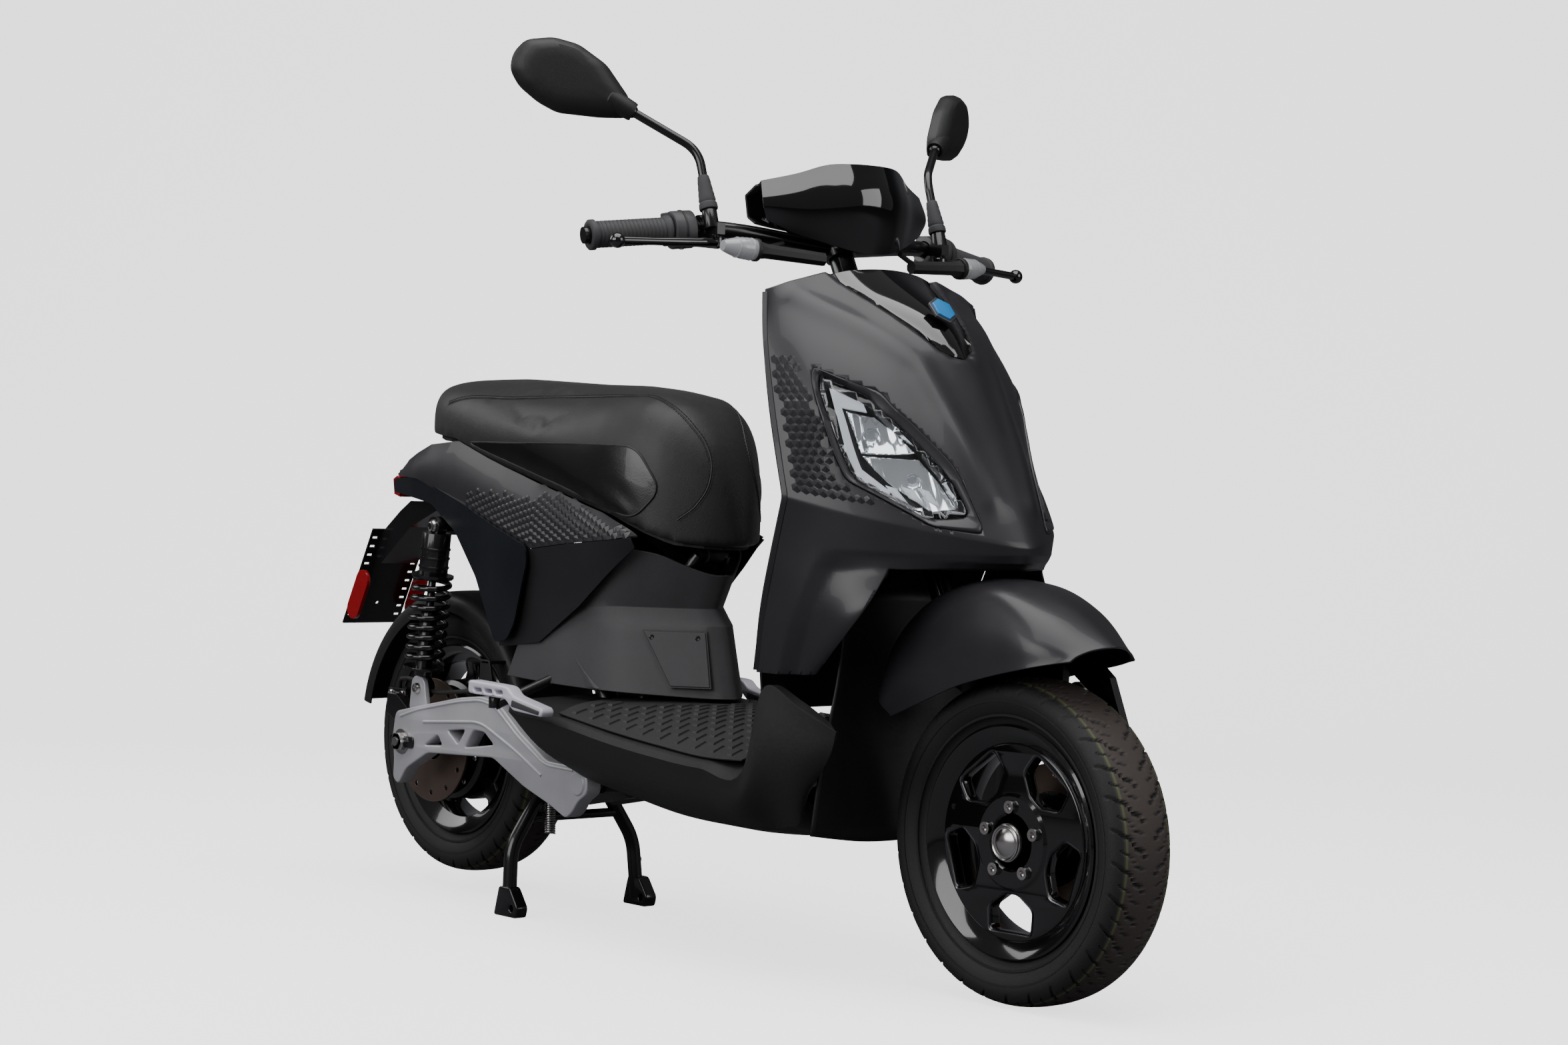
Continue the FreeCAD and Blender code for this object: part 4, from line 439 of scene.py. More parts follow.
class Surface:
    """Smooth surface through a net, read at fractional row and column of that net."""

    def __init__(self, rows, sharp_rows=(), sharp_columns=(), fine=10, raised=None):
        self.fine = fine
        self.grid = net(rows, fine, fine, sharp_rows, sharp_columns)
        self.rows, self.columns = len(rows) - 1, len(rows[0]) - 1
        across = np.gradient(self.grid, axis=1)
        along = np.gradient(self.grid, axis=0)
        normal = np.cross(across, along)
        self.normal = normal / np.maximum(1e-9, np.linalg.norm(normal, axis=2, keepdims=True))
        self.raised = raised

    def read(self, table, s, t):
        a = min(max(s, 0), self.rows) * self.fine
        b = min(max(t, 0), self.columns) * self.fine
        i, j = min(int(a), table.shape[0] - 2), min(int(b), table.shape[1] - 2)
        a, b = a - i, b - j
        return (table[i, j] * (1 - a) * (1 - b) + table[i, j + 1] * (1 - a) * b
                + table[i + 1, j] * a * (1 - b) + table[i + 1, j + 1] * a * b)

    def point(self, s, t, lift=0.0):
        place = self.read(self.grid, s, t)
        if self.raised:
            lift += self.raised(place)
        normal = self.read(self.normal, s, t)
        return place + normal / np.linalg.norm(normal) * lift

    def fill(self, name, outline, mat, body, lift=0.0, step=0.12, holes=(), **options):
        """Sheet over an outline given in rows and columns of the net."""
        verts, edges = [], []
        for ring in [outline] + list(holes):
            first = len(verts)
            for i, (s, t) in enumerate(ring):
                s1, t1 = ring[(i + 1) % len(ring)]
                parts = max(1, int(math.hypot(s1 - s, t1 - t) / step))
                verts += [Vector((s + (s1 - s) * k / parts, t + (t1 - t) * k / parts)) for k in range(parts)]
            edges += [(k, k + 1 if k + 1 < len(verts) else first) for k in range(first, len(verts))]
        low_s, high_s = min(p[0] for p in outline), max(p[0] for p in outline)
        low_t, high_t = min(p[1] for p in outline), max(p[1] for p in outline)
        for s in np.arange(low_s + step / 2, high_s, step):
            for t in np.arange(low_t + step / 2, high_t, step):
                if inside(outline, s, t) and not any(inside(h, s, t) for h in holes):
                    verts.append(Vector((s, t)))
        out = delaunay_2d_cdt(verts, edges, [], 0, 1e-5)
        faces = []
        for face in out[2]:
            s = sum(out[0][k].x for k in face) / 3
            t = sum(out[0][k].y for k in face) / 3
            if inside(outline, s, t) and not any(inside(h, s, t) for h in holes):
                faces.append(face)
        depth = lift if callable(lift) else lambda s, t: lift
        points = [self.point(v.x, v.y, depth(v.x, v.y)) for v in out[0]]
        return from_data(name, points, faces, mat, body, **options)

    def band(self, name, rings, mat, body, closed=True, **options):
        """Strip through rings of the same length; each is a list of row, column and lift."""
        grid = np.array([[self.point(*p) for p in ring] for ring in rings])
        rows, columns = grid.shape[:2]
        return from_data(name, grid.reshape(-1, 3), grid_faces(rows, columns, closed), mat, body, **options)


# ---------------------------------------------------------------- front shield
SHIELD_NET = [
    [(895, 185, 893), (905, 140, 908), (913, 90, 922), (920, 45, 929), (925, 0, 931)],
    [(902, 190, 850), (940, 160, 852), (975, 122, 855), (1008, 62, 859), (1030, 0, 860)],
    [(936, 203, 742), (995, 180, 742), (1045, 140, 742), (1090, 70, 742), (1112, 0, 742)],
    [(962, 210, 672), (1015, 182, 672), (1068, 140, 672), (1128, 70, 672), (1152, 0, 672)],
    [(977, 212, 626), (1040, 178, 610), (1105, 133, 595), (1165, 75, 580), (1200, 0, 570)],
    [(957, 207, 575), (1025, 180, 560), (1095, 135, 553), (1160, 75, 549), (1196, 0, 547)],
    [(920, 196, 480), (1000, 186, 478), (1075, 170, 476), (1100, 75, 476), (1110, 0, 476)],
    [(889, 180, 399), (935, 173, 398), (990, 160, 397), (1040, 75, 397), (1050, 0, 397)],
]
ARCH_LINE = [(984, 380), (1067, 475), (1140, 519), (1170, 538)]
RIDGE = [(913, 153, 888), (987, 111, 847), (1054, 62, 798), (1097, 52, 742), (1129, 44, 692), (1166, 34, 629)]
PANEL_EDGE = [(927, 91, 909), (969, 73, 883), (1023, 48, 845), (1052, 27, 815), (1066, 0, 803)]


def polyline_distance(point, line):
    best = 1e9
    p = np.array((point[0], abs(point[1]), point[2]))
    for a, b in zip(line[:-1], line[1:]):
        a, b = np.array(a, float), np.array(b, float)
        u = np.clip(np.dot(p - a, b - a) / np.dot(b - a, b - a), 0, 1)
        best = min(best, float(np.linalg.norm(p - a - u * (b - a))))
    return best


def panel_half_width(z):
    return float(np.interp(z, [803, 815, 845, 883, 909, 935], [0, 27, 48, 73, 91, 100]))


def shield_relief(place):
    """Soft ridge down the front, a sunken seat for the gloss panel and a hollow in the lower flare."""
    x, y, z = place
    rise = 4.5 * math.exp(-(polyline_distance(place, RIDGE) / 17) ** 2)
    if z > 800:
        depth = (panel_half_width(z) - abs(y)) / 9
        rise -= 6 * min(1, max(0, depth + 0.5)) if z > 806 else 0
    if z < 560:
        reach = min(1, max(0, (x - 965 - (z - 470) * 0.55) / 26))
        rise -= 7 * reach * min(1, (560 - z) / 22)
    return rise


shield = Surface(whole(SHIELD_NET), sharp_rows=(4, 5), fine=14, raised=shield_relief)
LAMP_RIM = [(1.56, 1.05), (1.84, 2.30), (2.28, 2.62), (3.08, 3.06), (3.90, 3.30), (3.93, 2.48), (3.35, 1.32),
            (1.72, 0.95)]
LAMP_GLASS = [(1.64, 1.16), (1.90, 2.10), (2.28, 2.40), (3.15, 2.90), (3.68, 3.12), (3.80, 2.44), (3.30, 1.50),
              (1.80, 1.10)]


def flip(outline):
    return [(s, 8 - t) for s, t in outline]


def even(outline, count=96):
    """Outline resampled to evenly spaced points with slightly rounded corners."""
    ring = np.array(fillet(outline, 0.10, 4))
    ends = np.vstack([ring, ring[:1]])
    run = np.concatenate([[0], np.cumsum(np.linalg.norm(np.diff(ends, axis=0), axis=1))])
    marks = np.linspace(0, run[-1], count, endpoint=False)
    return [(float(np.interp(m, run, ends[:, 0])), float(np.interp(m, run, ends[:, 1]))) for m in marks]


def arch_row(t):
    """Row at which column t of the shield meets the wheel arch."""
    for s in np.arange(5.0, 7.0, 0.01):
        x, y, z = shield.point(s, t)
        limit = float(np.interp(x, [p[0] for p in ARCH_LINE], [p[1] for p in ARCH_LINE], left=0, right=538))
        if z < limit or (abs(y) < 139 and z < 540):
            return s
    return 7.0


def mix(a, b, share):
    return [(p[0] * (1 - share) + q[0] * share, p[1] * (1 - share) + q[1] * share) for p, q in zip(a, b)]


def build_shield():
    bottom = [(arch_row(t), t) for t in np.arange(8.0, -0.001, -0.1)]
    outline = [(0, t) for t in np.arange(0, 8.001, 0.25)] + bottom
    holes = [even(LAMP_RIM), even(flip(LAMP_RIM))]
    shell = shield.fill("shield_shell", outline, PAINT, "chassis", step=0.06, holes=holes,
                        angle=40, replaces=["front_shield"], slot="body_satin")
    thicken(shell, 3.5)
    for side, turn in ((-1, flip), (1, lambda o: o)):
        tag = "right" if side < 0 else "left"
        rim, glass = even(turn(LAMP_RIM)), even(turn(LAMP_GLASS))
        rings = [[(s, t, 0.2) for s, t in rim], [(s, t, 2.2) for s, t in mix(rim, glass, 0.12)],
                 [(s, t, 2.2) for s, t in mix(rim, glass, 0.3)], [(s, t, -5) for s, t in glass],
                 [(s, t, -16) for s, t in glass]]
        bezel = shield.band("lamp_surround_" + tag, rings, PAINT, "chassis", angle=50)
        thicken(bezel, 1.5)
        build_lamp(tag, turn, glass)
    build_scales()
    build_panel()


def shrink(outline, share):
    cs = sum(p[0] for p in outline) / len(outline)
    ct = sum(p[1] for p in outline) / len(outline)
    return [(cs + (s - cs) * (1 - share), ct + (t - ct) * (1 - share)) for s, t in outline]


def build_lamp(tag, turn, glass):
    """Dark band, white light guide, two fluted reflector cells and the clear lens."""
    rings = [[(s, t, -5.5) for s, t in glass], [(s, t, -6.5) for s, t in shrink(glass, 0.10)],
             [(s, t, -26) for s, t in shrink(glass, 0.13)]]
    shield.band("lamp_band_" + tag, rings, LAMP_DARK, "chassis")
    guide = turn([(1.78, 1.30), (1.93, 1.94), (2.06, 1.98), (1.99, 1.48), (3.10, 1.66), (3.44, 2.05), (3.53, 1.93),
                  (3.20, 1.50)])
    bar = shield.fill("lamp_guide_" + tag, guide, GUIDE, "chassis", lift=-8, step=0.1)
    thicken(bar, 4, bevel=0.8)
    for k, (t0, t1) in enumerate(((2.12, 2.26), (2.34, 2.50), (2.58, 2.72))):
        tooth = turn([(3.50, t0 - 0.06), (3.34, t0 - 0.12), (3.38, t1 - 0.12), (3.60, t1 - 0.02)])
        thicken(shield.fill("lamp_tooth_%s_%d" % (tag, k), tooth, GUIDE, "chassis", lift=-9, step=0.1), 4)
    cells = {"upper": [(2.05, 1.56), (2.08, 2.10), (2.36, 2.38), (2.78, 2.55), (2.80, 1.72)],
             "lower": [(2.86, 1.74), (2.84, 2.60), (3.22, 2.82), (3.60, 3.00), (3.62, 2.56), (3.30, 2.10)]}
    for name, outline in cells.items():
        cs = sum(p[0] for p in outline) / len(outline)
        ct = sum(p[1] for p in outline) / len(outline)
        reach = max(math.hypot(s - cs, t - ct) for s, t in outline)

        def dish(s, t):
            away = math.hypot(s - cs, (t if t < 4 else 8 - t) - ct) / reach
            flute = 1.6 * abs(math.sin(((t if t < 4 else 8 - t) - ct) * 16))
            return -12 - 17 * (1 - away**2) + flute

        # The reflector cells glow faintly: painted reflection.
        thicken(shield.fill("lamp_cell_%s_%s" % (name, tag), turn(outline), CHROME_PAINTED_REFLECTION, "chassis", lift=dish, step=0.035,
                            angle=60), 1.0)
    bulb = {"upper": (2.46, 1.98), "lower": (3.20, 2.42)}
    for name, (s, t) in bulb.items():
        s, t = turn([(s, t)])[0]
        centre = shield.point(s, t, -22)
        ahead = shield.read(shield.normal, s, t)
        lathe("lamp_bulb_%s_%s" % (name, tag), [(0, -3), (9, -2), (9, 4), (5, 8), (0, 9)], centre, LENS, "chassis",
              axis=ahead, segments=32)
    backing = shield.fill("lamp_back_" + tag, shrink(glass, 0.02), LAMP_DARK, "chassis", lift=-34, step=0.2)
    thicken(backing, 2)
    lens = shield.fill("lamp_lens_" + tag, shrink(glass, -0.005), LENS, "chassis", lift=-2.5, step=0.12,
                       replaces=["headlight_lenses", "headlight_housings"] if tag == "left" else (),
                       slot="lamp_clear")
    thicken(lens, 2)


SCALE_ZONE = [(1.40, 0.14), (1.44, 0.74), (1.80, 0.72), (1.84, 0.86), (2.16, 0.86), (2.28, 1.06), (2.72, 1.02),
              (2.80, 1.18), (3.36, 1.10), (3.42, 1.24), (3.56, 1.46), (3.72, 1.74), (3.92, 1.94), (3.97, 1.80),
              (3.92, 1.48), (3.93, 1.06), (3.92, 0.48), (3.82, 0.20), (2.88, 0.18), (1.92, 0.16)]


def build_scales():
    """Embossed hexagonal scales along the outer edge of the shield."""
    for side in (-1, 1):
        points, faces = [], []
        s_marks = np.arange(1.2, 4.0, 0.02)
        edge = np.array([shield.point(s, 0.5) for s in s_marks])
        run = np.concatenate([[0], np.cumsum(np.linalg.norm(np.diff(edge, axis=0), axis=1))])
        for i in range(int(run[-1] / 10.4)):
            s = float(np.interp(i * 10.4 + 3, run, s_marks))
            t_marks = np.arange(0.0, 2.2, 0.04)
            line = np.array([shield.point(s, t) for t in t_marks])
            width = np.concatenate([[0], np.cumsum(np.linalg.norm(np.diff(line, axis=0), axis=1))])
            for j in range(int(width[-1] / 12.2)):
                t = float(np.interp(j * 12.2 + (i % 2) * 6.1 + 4, width, t_marks))
                if not inside(SCALE_ZONE, s, t):
                    continue
                ds = 6.9 / max(1.0, float(np.linalg.norm(shield.point(s + 0.1, t) - shield.point(s, t)) * 10))
                dt = 7.0 / max(1.0, float(np.linalg.norm(shield.point(s, t + 0.1) - shield.point(s, t)) * 10))
                first = len(points)
                turn = (lambda c: 8 - c) if side < 0 else (lambda c: c)
                for k in range(6):
                    angle = math.radians(60 * k)
                    points.append(shield.point(s + ds * math.cos(angle), turn(t + dt * math.sin(angle)), 0.1))
                points.append(shield.point(s - ds * 0.35, turn(t + dt * 0.35), 3.0))
                faces += [(first + k, first + (k + 1) % 6, first + 6) for k in range(6)]
                faces.append(tuple(first + k for k in range(6)))
        tag = "right" if side < 0 else "left"
        from_data("shield_scales_" + tag, points, faces, PAINT, "chassis", angle=5)


def build_panel():
    """Gloss V panel let into the shield, with a plain hexagonal badge."""
    half = [(0.02, 2.12), (0.20, 2.20), (0.64, 2.76), (1.12, 3.26), (1.34, 3.56), (1.44, 4.0)]
    outline = half + [(s, 8 - t) for s, t in reversed(half[:-1])]
    top = [(0.02, 8 - 2.12 - k * 0.47) for k in range(1, 8)]

    def crown(s, t):
        away = abs(t - 4) / max(0.15, 4 - float(np.interp(s, [0.02, 0.64, 1.44], [2.12, 2.76, 4.0])))
        return 4.2 - 3.0 * min(1, away) ** 3

    face = shield.fill("centre_panel_face", outline + top, GLOSS, "chassis", lift=crown, step=0.07,
                       replaces=["centre_panel"], slot="body_gloss")
    thicken(face, 3.0, bevel=0.8)
    centre = Vector((1024, 0, 866))
    ahead = Vector((0.74, 0, 0.67))
    up = Vector((-0.67, 0, 0.74))
    for name, radius, rise, mat in (("rim", 21, 8.0, BADGE_GREY), ("face", 17, 10.4, BLUE)):
        corners = [(radius * math.sin(math.radians(60 * k)), radius * 1.08 * math.cos(math.radians(60 * k)))
                   for k in range(6)]
        plate("badge_" + name, corners, [], 4, mat, "chassis", bevel=0.8, origin=centre + ahead * rise,
              u=(0, 1, 0), v=up)


build_shield()


# ---------------------------------------------------------------- other front bodywork
INNER_NET = [
    [(884, 174, 876), (862, 140, 880), (842, 90, 884), (826, 45, 886), (822, 0, 887)],
    [(922, 192, 742), (893, 150, 742), (868, 100, 742), (860, 50, 742), (857, 0, 742)],
    [(962, 200, 628), (922, 155, 628), (892, 105, 628), (884, 50, 628), (881, 0, 628)],
    [(905, 184, 480), (878, 145, 480), (856, 100, 480), (846, 50, 480), (843, 0, 480)],
    [(878, 166, 402), (856, 132, 400), (838, 95, 400), (830, 50, 400), (827, 0, 400)],
    [(850, 136, 345), (838, 120, 345), (826, 90, 345), (820, 50, 345), (818, 0, 345)],
]
FENDER_NET = [
    [(1038, 80, 350), (1015, 80, 368), (1000, 62, 384), (996, 30, 387), (995, 0, 388)],
    [(1075, 81, 364), (1045, 80, 415), (1022, 62, 440), (1016, 30, 446), (1014, 0, 447)],
    [(1118, 82, 381), (1100, 80, 455), (1078, 62, 492), (1070, 30, 500), (1068, 0, 502)],
    [(1160, 82, 397), (1150, 80, 470), (1135, 62, 514), (1130, 30, 524), (1128, 0, 526)],
    [(1220, 82, 413), (1215, 79, 475), (1205, 62, 516), (1202, 30, 526), (1200, 0, 529)],
    [(1280, 80, 426), (1280, 74, 462), (1272, 56, 492), (1269, 28, 503), (1268, 0, 507)],
    [(1330, 58, 437), (1335, 46, 445), (1342, 30, 451), (1348, 14, 454), (1351, 0, 455)],
]
LINER_NET = [
    [(990, 166, 196), (972, 100, 186), (962, 50, 180), (958, 0, 178)],
    [(1002, 160, 300), (975, 100, 300), (958, 50, 300), (954, 0, 300)],
    [(1004, 138, 400), (975, 100, 400), (956, 50, 400), (951, 0, 400)],
    [(1010, 134, 500), (990, 100, 505), (966, 50, 508), (960, 0, 510)],
]


def build_front_bodywork():
    sheet("inner_shield_skin", net(whole(INNER_NET), 10, 8, sharp_rows=(2,)), GREY_PLASTIC, "chassis", 3.5, 1.0,
          bevel=1.0, replaces=["inner_shield"], slot="trim_grey")
    sheet("fender_skin", net(whole(FENDER_NET), 12, 10), PAINT, "steering", 3.0, -1.0, bevel=0.9,
          replaces=["front_fender"], slot="body_satin")
    sheet("arch_liner_skin", net(whole(LINER_NET), 6, 6), DARK_PLASTIC, "chassis", 3.5, -1.0,
          replaces=["wheel_arch_liner"], slot="liner_black")
    for side in (-1, 1):
        tag = "right" if side < 0 else "left"
        outer = spline(np.array([row[0] for row in SHIELD_NET], float), 12, sharp=(4, 5))
        inner = spline(np.array([row[0] for row in INNER_NET[:5]], float), 12, sharp=(2,))
        count = 80
        rows = []
        for k in range(count):
            z = 889 - (889 - 402) * k / (count - 1)
            a = [float(np.interp(-z, -outer[:, 2], outer[:, i])) for i in range(2)]
            b = [float(np.interp(-z, -inner[:, 2], inner[:, i])) for i in range(2)]
            rows.append([(a[0] + 2, (a[1] - 1) * side, z), (a[0] - 3, (a[1] + 2.5) * side, z),
                         ((a[0] + b[0]) / 2 - 4, ((a[1] + b[1]) / 2 + 2.5) * side, z),
                         (b[0] + 1, (b[1] + 1) * side, z)])
        sheet("shield_edge_" + tag, np.array(rows), PAINT, "chassis", 2.0, 0.0, bevel=0.6, angle=50)


build_front_bodywork()


# ---------------------------------------------------------------- floor and covers
FLOOR_NET = [
    [(498, 104, 212), (492, 156, 226), (425, 190, 266), (366, 199, 310), (356, 190, 318), (364, 164, 327),
     (400, 90, 334), (400, 0, 336)],
    [(525, 104, 208), (522, 154, 220), (500, 189, 258), (480, 200, 300), (470, 190, 310), (465, 150, 322),
     (480, 90, 330), (480, 0, 333)],
    [(600, 100, 197), (600, 150, 208), (600, 188, 244), (600, 200, 284), (600, 190, 293), (600, 148, 308),
     (600, 90, 324), (600, 0, 330)],
    [(700, 92, 184), (700, 146, 194), (700, 186, 230), (700, 200, 274), (700, 190, 283), (700, 148, 301),
     (700, 90, 319), (700, 0, 328)],
    [(800, 90, 179), (800, 145, 190), (800, 186, 224), (800, 200, 268), (800, 190, 276), (800, 148, 294),
     (800, 90, 313), (800, 0, 325)],
    [(870, 84, 181), (870, 142, 191), (878, 192, 228), (885, 198, 270), (878, 186, 278), (870, 148, 290),
     (870, 90, 308), (870, 0, 320)],
    [(905, 80, 184), (908, 142, 198), (925, 198, 290), (915, 188, 382), (905, 170, 380), (900, 148, 288),
     (895, 90, 306), (895, 0, 318)],
    [(930, 80, 190), (945, 146, 210), (1000, 200, 292), (1000, 199, 360), (985, 182, 368), (940, 150, 286),
     (930, 90, 304), (925, 0, 316)],
    [(940, 80, 205), (960, 152, 240), (1055, 196, 306), (1073, 203, 337), (1045, 188, 346), (950, 152, 284),
     (938, 90, 302), (932, 0, 314)],
]
COVER_NET = [
    [(300, 120, 546), (420, 117, 546), (500, 106, 546), (543, 77, 540), (576, 43, 522), (599, 15, 512),
     (606, 0, 512)],
    [(300, 118, 464), (410, 114, 464), (470, 100, 464), (508, 74, 464), (550, 38, 464), (576, 13, 464),
     (583, 0, 464)],
    [(296, 121, 440), (410, 117, 440), (485, 103, 440), (526, 76, 440), (569, 42, 440), (597, 15, 440),
     (605, 0, 440)],
    [(267, 134, 354), (400, 130, 348), (500, 112, 345), (566, 66, 342), (608, 30, 340), (626, 12, 340),
     (632, 0, 340)],
]
COVER_FOOT = [(480, 120), (500, 116), (566, 70), (608, 34), (634, 8)]
SIDE_PLAN = [(-150, 62), (-60, 88), (60, 108), (170, 122), (235, 129), (320, 133), (430, 130), (500, 122),
             (548, 112)]
SIDE_TOP = [(-146, 645), (-100, 668), (-9, 692), (87, 697), (181, 672), (275, 649), (392, 619), (472, 597),
            (548, 568)]
SIDE_RIDGE = [(-146, 636), (-30, 640), (134, 600), (267, 560), (326, 542), (420, 551), (546, 562)]
FACET_LOW = [(226, 393), (266, 396), (338, 405), (428, 461), (536, 548)]
BLADE = [(-146, 637), (-30, 641), (134, 602), (267, 562), (324, 544), (328, 520), (294, 432), (272, 406), (238, 400),
         (226, 420), (179, 495), (108, 560), (20, 600), (-77, 611), (-146, 616)]


def read_line(line, x):
    return float(np.interp(x, [p[0] for p in line], [p[1] for p in line]))


def wall_patch(name, outline, depth, mat, body, step=9.0, side=1, **options):
    """Sheet over an x, z outline whose sideways reach is given by depth(x, z)."""
    verts, edges = [], []
    for i, (x, z) in enumerate(outline):
        x1, z1 = outline[(i + 1) % len(outline)]
        parts = max(1, int(math.hypot(x1 - x, z1 - z) / step))
        verts += [Vector((x + (x1 - x) * k / parts, z + (z1 - z) * k / parts)) for k in range(parts)]
    edges = [(k, (k + 1) % len(verts)) for k in range(len(verts))]
    xs, zs = [p[0] for p in outline], [p[1] for p in outline]
    for x in np.arange(min(xs) + step / 2, max(xs), step):
        for z in np.arange(min(zs) + step / 2, max(zs), step):
            if inside(outline, x, z):
                verts.append(Vector((x, z)))
    out = delaunay_2d_cdt(verts, edges, [], 0, 1e-4)
    faces = [f for f in out[2] if inside(outline, sum(out[0][k].x for k in f) / 3, sum(out[0][k].y for k in f) / 3)]
    if side < 0:
        faces = [tuple(reversed(f)) for f in faces]
    return from_data(name, [(v.x, depth(v.x, v.y) * side, v.y) for v in out[0]], faces, mat, body, **options)


def upper_reach(x, z):
    top, ridge = read_line(SIDE_TOP, x), read_line(SIDE_RIDGE, x)
    share = min(1, max(0, (top - z) / max(6.0, top - ridge)))
    return read_line(SIDE_PLAN, x) - 6 + 14 * share + 3 * math.sin(math.pi * share)


def blade_reach(x, z):
    ridge = read_line(SIDE_RIDGE, x)
    fall = min(1, max(0, (ridge - z) / 170))
    return read_line(SIDE_PLAN, x) + 5 + 10 * min(1, max(0, (x + 60) / 300)) - 7 * fall**1.5


def facet_reach(x, z):
    ridge, low = read_line(SIDE_RIDGE, x), read_line(FACET_LOW, x)
    share = min(1, max(0, (ridge - z) / max(5.0, ridge - low)))
    return read_line(SIDE_PLAN, x) + 8 - 12 * share


def build_floor():
    grid = net(whole(FLOOR_NET), 8, 5, sharp_rows=(), sharp_columns=(1, 3, 4, 10, 11, 13))
    sheet("floor_skin", grid, DARK_PLASTIC, "chassis", 3.5, -1.0, bevel=1.2, angle=38, replaces=["floorboard"],
          slot="trim_grey")
    rows = []
    for row in FLOOR_NET[1:6]:
        rim, inner = Vector(row[4]), Vector(row[5])
        line = [tuple(rim + (inner - rim) * 0.1)] + [tuple(p) for p in row[5:]]
        rows.append([(min(p[0], 866), p[1], p[2] + 2.2) for p in line])
    mat = Surface(whole(rows), fine=12)
    sheet("mat_skin", mat.grid, MAT_RUBBER, "chassis", 2.4, 1.0, bevel=0.6, replaces=["floor_mat"],
          slot="mat_rubber")
    tops = BVHTree.FromPolygons([Vector(p) for p in mat.grid.reshape(-1, 3)],
                                grid_faces(mat.grid.shape[0], mat.grid.shape[1]))
    points, faces = [], []
    for i, x in enumerate(np.arange(492, 858, 19)):
        for y in np.arange(-166 + (i % 2) * 16, 170, 32):
            hit = tops.ray_cast(Vector((x, y, 500)), Vector((0, 0, -1)))
            if hit[0] is None or (x < 640 and abs(y) < read_line(COVER_FOOT, x) + 8):
                continue
            base, n = hit[0], hit[1] if hit[1].z > 0 else -hit[1]
            across = Vector((0, 1, 0)).cross(n).normalized()
            along = n.cross(across).normalized()
            first = len(points)
            for size, lift in ((1.0, 2.0), (0.78, 4.6)):
                for a, b in ((-1, -1), (1, -1), (1, 1), (-1, 1)):
                    points.append(base + across * (5.2 * a * size) + along * (11 * b * size) + n * lift)
            for k in range(4):
                m = (k + 1) % 4
                faces.append((first + k, first + m, first + 4 + m, first + 4 + k))
            faces += [(first + 3, first + 2, first + 1, first), (first + 4, first + 5, first + 6, first + 7)]
    from_data("mat_blocks", points, faces, MAT_RUBBER, "chassis", angle=20)
    sheet("under_seat_skin", net(whole(COVER_NET), 8, 5, sharp_rows=(1, 2)), GREY_PLASTIC, "chassis", 3.5, -1.0,
          bevel=1.0, angle=24, replaces=["under_seat_cover"], slot="trim_grey")
    for side in (-1, 1):
        tag = "right" if side < 0 else "left"
        apex, left = (384, 122 * side, 418), (296, 133 * side, 352)
        low, right = (470, 124 * side, 347), (563, 68 * side, 346)
        back = [(p[0], p[1] - 16 * side, p[2]) for p in (apex, left, low, right)]
        corners = [apex, left, low, right] + back
        faces = [(0, 1, 2), (0, 2, 3), (4, 6, 5), (4, 7, 6), (0, 4, 5, 1), (1, 5, 6, 2), (2, 6, 7, 3), (3, 7, 4, 0)]
        wedge = from_data("cover_wedge_" + tag, corners, faces, GREY_PLASTIC, "chassis", angle=15)
        soften(wedge, 2.0, 3, 10)
    ahead = Vector((0.76, -0.65, 0))
    corners = [Vector(c) for c in ((524, -83, 432), (593, -26, 432), (612, -31, 356), (568, -67, 356))]
    faces = [(0, 1, 2, 3), (7, 6, 5, 4)] + [(k, k + 4, (k + 1) % 4 + 4, (k + 1) % 4) for k in range(4)]
    middle = sum(corners, Vector()) / 4
    # Slightly larger dark box behind the hatch: its rim shows as painted shade in the gap round the hatch.
    gap = [middle + (c - middle) * 1.04 for c in corners]
    from_data("hatch_gap_shade", [tuple(c + ahead * 2.0) for c in gap] + [tuple(c - ahead * 2) for c in gap], faces, PAINT_SHADE,
              "chassis", angle=25)
    hatch = from_data("hatch_skin", [tuple(c + ahead * 3.6) for c in corners] + [tuple(c - ahead) for c in corners],
                      faces, GREY_PLASTIC, "chassis", angle=25, replaces=["access_hatch"], slot="trim_grey")
    soften(hatch, 1.6, 3, 20)
    for k, corner in enumerate((corners[0] + Vector((10, 8, -9)), corners[1] + Vector((-8, -7, -9)))):
        screw("hatch_screw_%d" % k, tuple(corner + ahead * 4.0), tuple(ahead), 4.2, BLACK_METAL, "chassis", 2.0)


